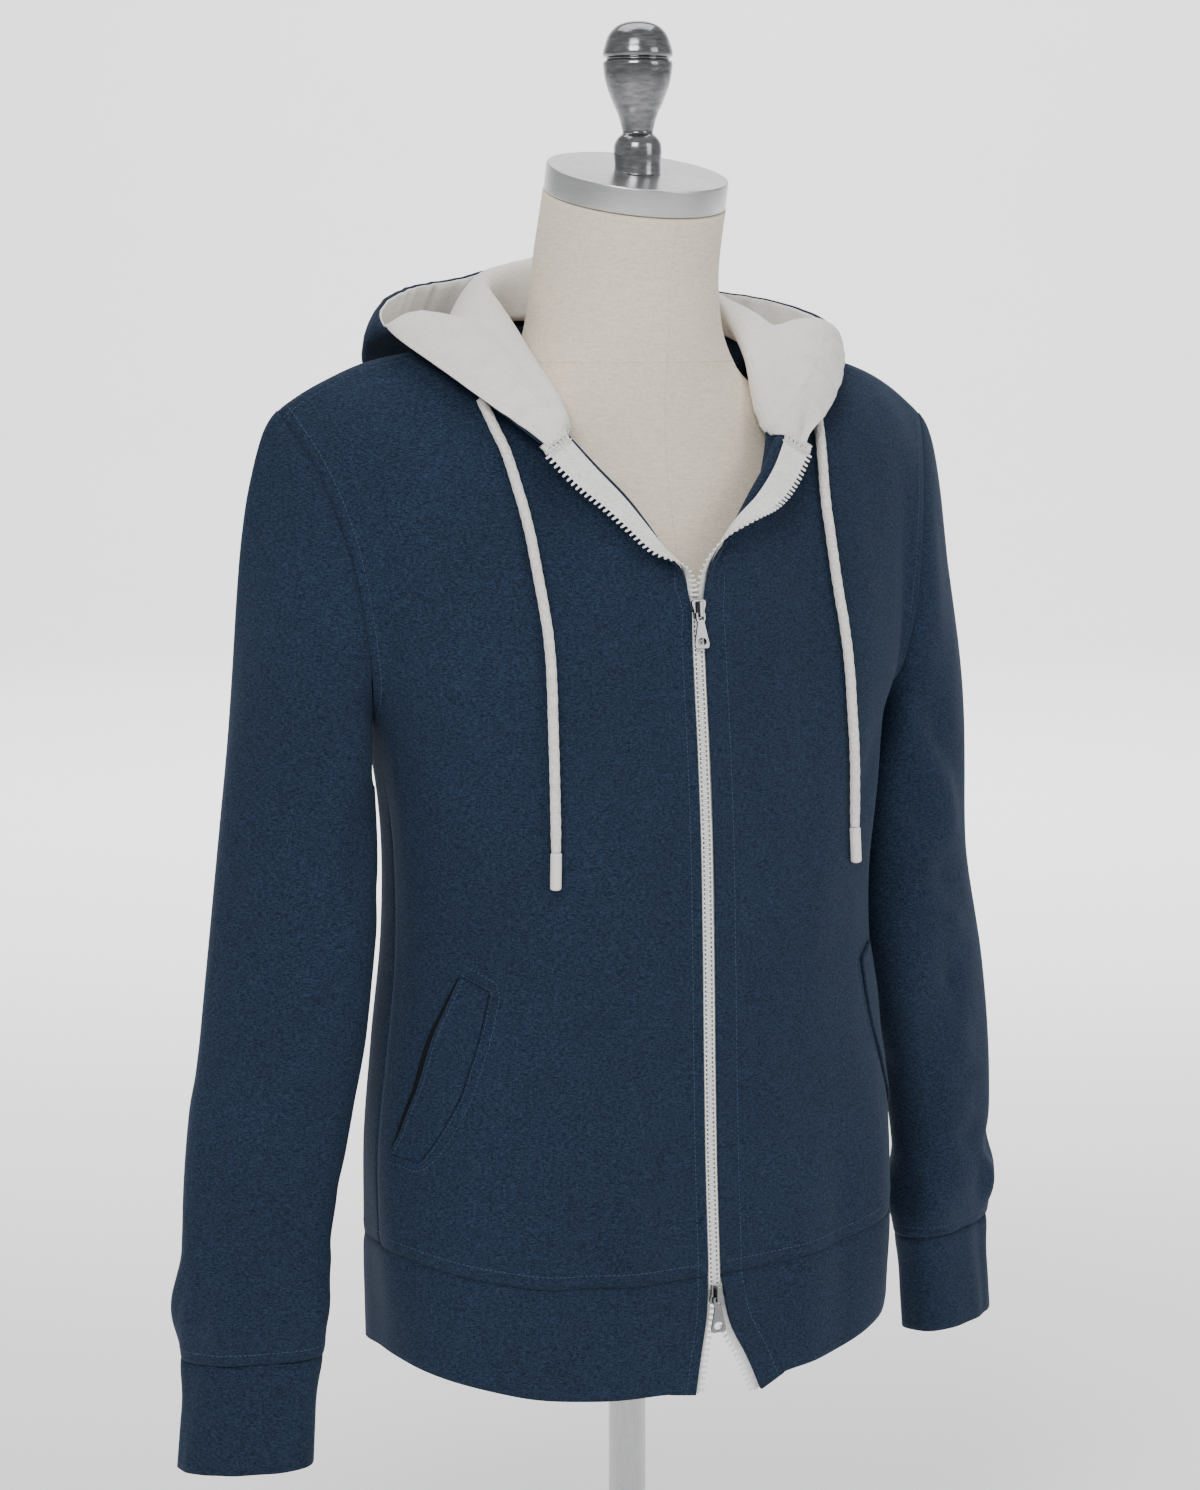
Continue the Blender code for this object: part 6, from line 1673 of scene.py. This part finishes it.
for tag in ("left", "right"):
    o, i = FINE["zip_tape_" + tag][:2]
    g = (o + i) / 2
    up = unit(g[-1] - g[-3])
    off = unit(o[-1] - i[-1])
    row = np.linspace(0, g.shape[1] - 1, 15)
    at = lambda a: np.stack([np.interp(row, np.arange(g.shape[1]), a[:, k]) for k in range(3)], axis=1)
    top, up, off = at(g[-1]), unit(at(up)), unit(at(off))
    side = unit(np.gradient(top, axis=0))
    for face in (1, -1):
        c = top + up * 0.0016 + off * face * 0.0011
        lean_by = np.where(np.arange(15) % 2 == 0, 0.28, -0.36)[:, None]
        white.append(spindles(c, unit(up + side * lean_by), off * face, 0.0085, 0.00052))
    c = top + up * 0.0022
    white.append(spindles(c, side, off, 0.0022, 0.0011))
white_stitches = joined("white_topstitching", white, WHITE_THREAD, "zip_tape")


# -------------------------------------------------------------- zip's teeth
def tooth(centre, across, up, off, wide, tall, deep):
    """A moulded tooth: a block with its edges cut back, wider at its head."""
    verts = []
    for s, w, h in ((-0.5, 0.86, 0.80), (-0.30, 1.0, 1.0), (0.30, 1.0, 1.0), (0.5, 0.80, 0.72)):
        for x, z in ((-0.5, -0.36), (-0.5, 0.36), (-0.30, 0.5), (0.30, 0.44), (0.5, 0.30),
                     (0.5, -0.30), (0.30, -0.44), (-0.30, -0.5)):
            verts.append(centre + across * x * wide * w + up * z * tall * h + off * s * deep)
    faces = [tuple(range(8))[::-1], tuple(24 + k for k in range(8))]
    for r in range(3):
        for k in range(8):
            j = (k + 1) % 8
            faces.append((8 * r + k, 8 * r + j, 8 * r + 8 + j, 8 * r + 8 + k))
    return verts, faces


teeth = []
z_low, z_high = SLIDER_LOW_Z + SLIDER_H - 0.0042, SLIDER_TOP_Z - SLIDER_H + 0.0042
zs = np.concatenate([np.linspace(HEM_Z, BAND_Z, 4)[:-1], row_heights(N_LOW, N_HIGH)])
faces_y = np.array([zip_face(z) for z in zs])
chain_y = lambda z: np.interp(z, zs, faces_y) + BAND_WALL + TAPE_GAP - 0.0003 - CHAIN_T / 2
PITCH = 0.0030
z, k = z_low + 0.0008, 0
while z < z_high - 0.0006:
    slope = unit(np.array([0, chain_y(z + 0.002) - chain_y(z - 0.002), 0.004]))
    off = unit(np.cross(np.array([1.0, 0, 0]), slope))
    s = 1 if k % 2 else -1
    centre = np.array([s * 0.00070, chain_y(z), z])
    teeth.append(tooth(centre, np.array([-s * 1.0, 0, 0]), slope, off, 0.0046, 0.00150, CHAIN_T))
    z += PITCH / 2
    k += 1
for tag in ("left", "right"):
    o, i = FINE["zip_tape_" + tag][:2]
    mid = (o + i) / 2
    edge_line = mid[:, 0]
    inward = unit(mid[:, 2] - mid[:, 0])
    s = np.concatenate([[0.0], np.cumsum(np.linalg.norm(np.diff(edge_line, axis=0), axis=1))])
    for t in np.arange(0.002, s[-1] - 0.001, 0.0038):
        c = np.array([np.interp(t, s, edge_line[:, k]) for k in range(3)])
        if z_low - 0.002 < c[2] < z_high + 0.004:
            continue
        a = unit(np.array([np.interp(t, s, inward[:, k]) for k in range(3)]))
        ahead = np.array([np.interp(t + 0.002, s, edge_line[:, k]) for k in range(3)])
        behind = np.array([np.interp(t - 0.002, s, edge_line[:, k]) for k in range(3)])
        up = unit(ahead - behind)
        off = unit(np.cross(a, up))
        teeth.append(tooth(c - a * 0.0010, -a, up, off, 0.0052, 0.00185, 0.0015))
zip_teeth = joined("zip_teeth", teeth, TEETH, "zip_teeth")
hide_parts("zip_chain")

# the corded edges of the tape that stand beside the closed teeth
beads = []
ring = np.linspace(0, 2 * pi, 8, endpoint=False)
for x_at in (-0.00345, 0.00345):
    path = np.array([[x_at, chain_y(z) - 0.0002, z] for z in np.linspace(z_low, z_high, 150)])
    verts, faces = [], []
    for n, p in enumerate(path):
        for a in ring:
            verts.append(p + np.array([cos(a) * 0.00062, sin(a) * 0.0007, 0]))
        if n:
            for k in range(8):
                j = (k + 1) % 8
                faces.append((8 * (n - 1) + k, 8 * (n - 1) + j, 8 * n + j, 8 * n + k))
    faces.append(tuple(range(8))[::-1])
    faces.append(tuple(8 * (len(path) - 1) + k for k in range(8)))
    beads.append((verts, faces))
zip_edges = joined("zip_corded_edges", beads, TAPE_CLOTH, "zip_tape")


# ------------------------------------------------------------------- cords
def tube_mesh(name, path, radius_of, around, mat):
    path = np.asarray(path)
    run = unit(np.gradient(path, axis=0))
    ref = np.array([0.0, 1.0, 0.0])
    side = unit(np.cross(run, ref))
    other = unit(np.cross(side, run))
    s = np.concatenate([[0.0], np.cumsum(np.linalg.norm(np.diff(path, axis=0), axis=1))])
    a = np.linspace(0, 2 * pi, around, endpoint=False)
    r = radius_of(s[:, None], a[None, :])
    verts = (path[:, None] + side[:, None] * (np.cos(a) * r)[..., None]
             + other[:, None] * (np.sin(a) * r)[..., None])
    n = len(path)
    faces = grid_faces(n, around, True)
    faces = [tuple(f) for f in faces] + [tuple(range(around))[::-1],
                                         tuple((n - 1) * around + k for k in range(around))]
    return solid(name, verts.reshape(-1, 3), faces)


for side, tag in ((1, "left"), (-1, "right")):
    o = FINE["front_" + tag][0]
    tree = BVHTree.FromPolygons([tuple(p) for p in o.reshape(-1, 3)], grid_faces(o.shape[0], o.shape[1], False))
    line = cord_line(side, tree)
    length = np.linalg.norm(np.diff(line, axis=0), axis=1).sum()
    cut = 1.0 - TIP_L / length
    body = smooth_path(along(line, np.linspace(0, cut - GAP / length, 16)), np.linspace(0, 1, 330))
    end = smooth_path(along(line, np.linspace(cut, 1.0, 3)), np.linspace(0, 1, 40))
    real = float(np.linalg.norm(np.diff(body, axis=0), axis=1).sum())

    def braid(s, a, real=real):
        twist = 2 * pi / 0.0085
        weave = np.maximum(np.cos(6 * a + twist * s), np.cos(6 * a - twist * s))
        narrow = 1.0 - 0.10 * np.exp(-((real - s) / 0.006) ** 2)
        return CORD_D / 2 * narrow * (0.955 + 0.065 * weave) * (1 + 0.015 * np.sin(s * 310) * np.sin(3 * a))

    cord = tube_mesh("drawcord_braid_" + tag, body, braid, 40, CORD_CLOTH)
    done(cord, CORD_CLOTH, "drawcord_" + tag, slot="cord")

    def sheath(s, a):
        top = np.clip(s / 0.0012, 0, 1)
        foot = np.clip((TIP_L - s) / 0.0016, 0, 1)
        return TIP_D / 2 * (0.80 + 0.20 * np.sqrt(1 - (1 - top) ** 2)) * (0.55 + 0.45 * np.sqrt(1 - (1 - foot) ** 2)) \
            + 0.0 * a

    tip = tube_mesh("cord_tip_sheath_" + tag, end, sheath, 36, TIP_SHEATH)
    done(tip, TIP_SHEATH, "cord_tip_" + tag, slot="cord_tip")


# -------------------------------------------------------------------- form
def turned_mesh(name, profile, steps, place=None, smooth_parts=1):
    prof = np.array(profile, float)
    a = np.linspace(0, 2 * pi, steps, endpoint=False)
    rows = [np.stack([r * np.cos(a), r * np.sin(a), np.full(steps, z)], axis=1) for z, r in prof]
    rows = np.array(rows)
    if place is not None:
        m = np.array(place)
        rows = rows @ m[:3, :3].T + m[:3, 3]
    n = len(rows)
    faces = [tuple(f) for f in grid_faces(n, steps, True)]
    faces += [tuple(range(steps))[::-1], tuple((n - 1) * steps + k for k in range(steps))]
    return rows, faces


def curved(profile, parts):
    """A turned outline with more points on a smooth curve through it."""
    p = np.array(profile, float)
    s = np.concatenate([[0.0], np.cumsum(np.linalg.norm(np.diff(p, axis=0), axis=1))])
    t = np.concatenate([np.linspace(s[k], s[k + 1], parts, endpoint=False) for k in range(len(s) - 1)]
                       + [[s[-1]]])
    out = read(s, p, t, free=True)
    out[:, 1] = np.maximum(out[:, 1], 0.0002)
    return out


torso_rows = []
form = np.array(FORM)
around = np.linspace(0, 2 * pi, 144, endpoint=False)
for z in np.concatenate([np.linspace(0.2855, 0.90, 120, endpoint=False), np.linspace(0.90, NECK_TOP - 0.0006, 40)]):
    half, front, rear, power = table(FORM, z)[0]
    mid, depth = (front + rear) / 2, (rear - front) / 2
    e, f = np.cos(around), np.sin(around)
    r = np.stack([half * np.sign(e) * np.abs(e) ** (2 / power),
                  mid + depth * np.sign(f) * np.abs(f) ** (2 / power), np.full(144, z)], axis=1)
    if z > 0.90:
        share = (z - 0.90) / (NECK_TOP - 0.90)
        r[:, 2] += (r[:, 1] - NECK_Y) * tan(radians(CAP_TILT)) * share
    torso_rows.append(r)
torso_rows = np.array(torso_rows)
n_rows = len(torso_rows)
torso_faces = [tuple(f) for f in grid_faces(n_rows, 144, True)]
torso_faces += [tuple(range(144))[::-1], tuple((n_rows - 1) * 144 + k for k in range(144))]
torso = solid("form_torso_cover", torso_rows.reshape(-1, 3), torso_faces)
done(torso, LINEN_CLOTH, "form_torso", slot="form_cloth")

# the cover's seams: down the centre front and round the foot of the neck
cover_seams = []
front_k = int(np.argmin(torso_rows[0, :, 1]))
line = torso_rows[:, front_k]
off = np.tile(np.array([0, -1.0, 0]), (len(line), 1))
cover_seams.append(stitch_line((line, off), 0.0012, 0.0018, 0.00034))
for height in (0.893,):
    r = torso_rows[int(np.argmin(np.abs(torso_rows[:, 0, 2] - height)))]
    loop = np.vstack([r, r[:1]])
    off = unit(loop - np.array([0, loop[:, 1].mean(), loop[0, 2]]))
    cover_seams.append(stitch_line((loop, off), 0.0012, 0.0018, 0.00034))
seams = joined("form_cover_seams", cover_seams, LINEN_CLOTH, "form_cloth")

tilt = radians(CAP_TILT)
axis = np.array([0, -sin(tilt), cos(tilt)])
foot = np.array([0, NECK_Y, NECK_TOP]) + axis * GAP
place = Matrix.Translation(tuple(foot)) @ Matrix.Rotation(tilt, 4, "X")
edge_r = 0.0011
round_top = [(CAP_H - edge_r + edge_r * sin(t), CAP_R - edge_r + edge_r * cos(t)) for t in np.linspace(pi / 2, 0, 7)]
side_prof = [(CAP_H, 0.0002), (CAP_H, 0.018), (CAP_H, 0.0185)]
top_rings = [(CAP_H, r) for r in np.linspace(0.02, CAP_R - edge_r - 0.0002, 12)]
low_round = [(edge_r - edge_r * sin(t), CAP_R - edge_r + edge_r * cos(t)) for t in np.linspace(0, pi / 2, 6)]
rows, faces = turned_mesh("cap", side_prof + top_rings + round_top + [(0.0087, CAP_R)] + low_round + [(0.0, 0.0002)],
                          160, place)
cap = solid("form_cap_disc", rows.reshape(-1, 3), faces)
done(cap, CAP_METAL, "form_cap", slot="form_metal")
cap.data.materials.append(CAP_TOP)
for poly in cap.data.polygons:
    c = np.array(poly.center) - foot
    if np.dot(c, axis) > CAP_H - 0.0004:
        poly.material_index = 1

seat = foot + axis * (CAP_H + GAP)
knob_profile = curved(KNOB, 7)
rows, faces = turned_mesh("knob", knob_profile, 96, Matrix.Translation((0, seat[1], seat[2])))
plane = seat[2] + (rows[..., 1] - seat[1]) * tan(tilt)
rows[..., 2] = np.maximum(rows[..., 2], plane + 0.0001)
knob = solid("form_knob_turned", rows.reshape(-1, 3), faces)
done(knob, KNOB_METAL, "form_knob", slot="form_metal")

pole_top = FORM[0][0] - GAP
pole = [(pole_top, 0.0002), (pole_top, 0.0315), (pole_top - 0.0006, 0.032), (pole_top - 0.0055, 0.032),
        (pole_top - 0.0062, 0.0314), (pole_top - 0.0078, 0.016), (pole_top - 0.0105, POLE_R)]
pole += [(z, POLE_R) for z in np.linspace(pole_top - 0.02, BASE_H + 0.036, 10)]
pole += [(BASE_H + 0.030, 0.0130), (BASE_H + 0.022, 0.0165), (BASE_H + 0.012, 0.0215), (BASE_H + 0.004, 0.0255),
         (BASE_H + GAP, 0.0258), (BASE_H + GAP, 0.0002)]
rows, faces = turned_mesh("pole", pole, 72)
done(solid("form_pole_turned", rows.reshape(-1, 3), faces), POLE_METAL, "form_pole", slot="form_metal")
base = [(BASE_H, 0.0002), (BASE_H, 0.028), (BASE_H, 0.056), (BASE_H - 0.0002, 0.060)]
base += [(float(np.interp(r, (0.060, BASE_R - 0.004), (BASE_H - 0.0002, 0.0140))), r)
         for r in np.linspace(0.066, BASE_R - 0.0046, 14)]
base += [(0.0136, BASE_R - 0.0026), (0.0122, BASE_R - 0.0008), (0.0105, BASE_R), (0.0060, BASE_R), (0.0020, BASE_R),
         (0.0006, BASE_R - 0.0005), (0.0, BASE_R - 0.0015), (0.0, 0.0002)]
rows, faces = turned_mesh("base", base, 144)
done(solid("form_base_disc", rows.reshape(-1, 3), faces), BASE_METAL, "form_base", slot="form_metal")

# sliders and pull tabs keep their solids
# their metal's darkened base colour is a painted dark reflection
for node in ("slider_top", "slider_bottom", "pull_top", "pull_bottom"):
    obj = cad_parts[node]
    obj = bpy.data.objects[obj] if isinstance(obj, str) else obj
    obj.data.materials.clear()
    obj.data.materials.append(SLIDER_METAL_PAINTED_DARK)

# ------------------------------------------------------ floor and lighting
def floor_sheet():
    """Pale paper: flat floor that sweeps up behind the form."""
    prof = [(-9.0, 0.0), (7.0, 0.0)]
    prof += [(7.0 + 3.0 * sin(t), 3.0 - 3.0 * cos(t)) for t in np.linspace(0.1, pi / 2, 16)]
    prof += [(10.0, 7.0)]
    verts, faces = [], []
    for y, z in prof:
        verts += [(-12, y, z - 0.0005), (12, y, z - 0.0005)]
    for k in range(len(prof) - 1):
        faces.append((2 * k, 2 * k + 1, 2 * k + 3, 2 * k + 2))
    mesh = bpy.data.meshes.new("floor")
    mesh.from_pydata(verts, [], faces)
    mesh.shade_smooth()
    obj = bpy.data.objects.new("floor", mesh)
    obj.rotation_euler = (0, 0, -AZ)
    SCENE.collection.objects.link(obj)
    m, tree, shader = new_material("floor_paper", (0.90, 0.90, 0.90), 0.9, specular=0.1)
    tree.links.new(mix(tree, ramp(tree, noise(tree, 3.0), 0.3, 0.7), (0.895, 0.895, 0.895), (0.905, 0.905, 0.905)),
                   shader.inputs["Base Color"])
    obj.data.materials.append(m)


floor_sheet()


def area_light(name, place, aim, size, power, colour=(1, 1, 1)):
    data = bpy.data.lights.new(name, "AREA")
    data.shape = "RECTANGLE"
    data.size, data.size_y = size
    data.energy = power
    data.color = colour
    obj = bpy.data.objects.new(name, data)
    obj.location = place
    obj.rotation_euler = (Vector(aim) - Vector(place)).to_track_quat("-Z", "Y").to_euler()
    SCENE.collection.objects.link(obj)


area_light("key", (-1.7, -1.9, 2.25), (0, 0, 0.85), (1.3, 1.3), 62)
area_light("fill", (1.5, -2.6, 1.7), (0, 0, 0.8), (1.2, 1.8), 22)
area_light("top", (0.2, 0.6, 3.0), (0, 0, 0.8), (2.4, 1.6), 34)
area_light("backdrop", (1.6, 2.6, 5.0), (4.0, 7.6, 1.2), (6.0, 3.0), 1000)
world = bpy.data.worlds.new("studio")
world.use_nodes = True
world.node_tree.nodes["Background"].inputs["Color"].default_value = (0.86, 0.87, 0.89, 1)
world.node_tree.nodes["Background"].inputs["Strength"].default_value = 0.66
SCENE.world = world
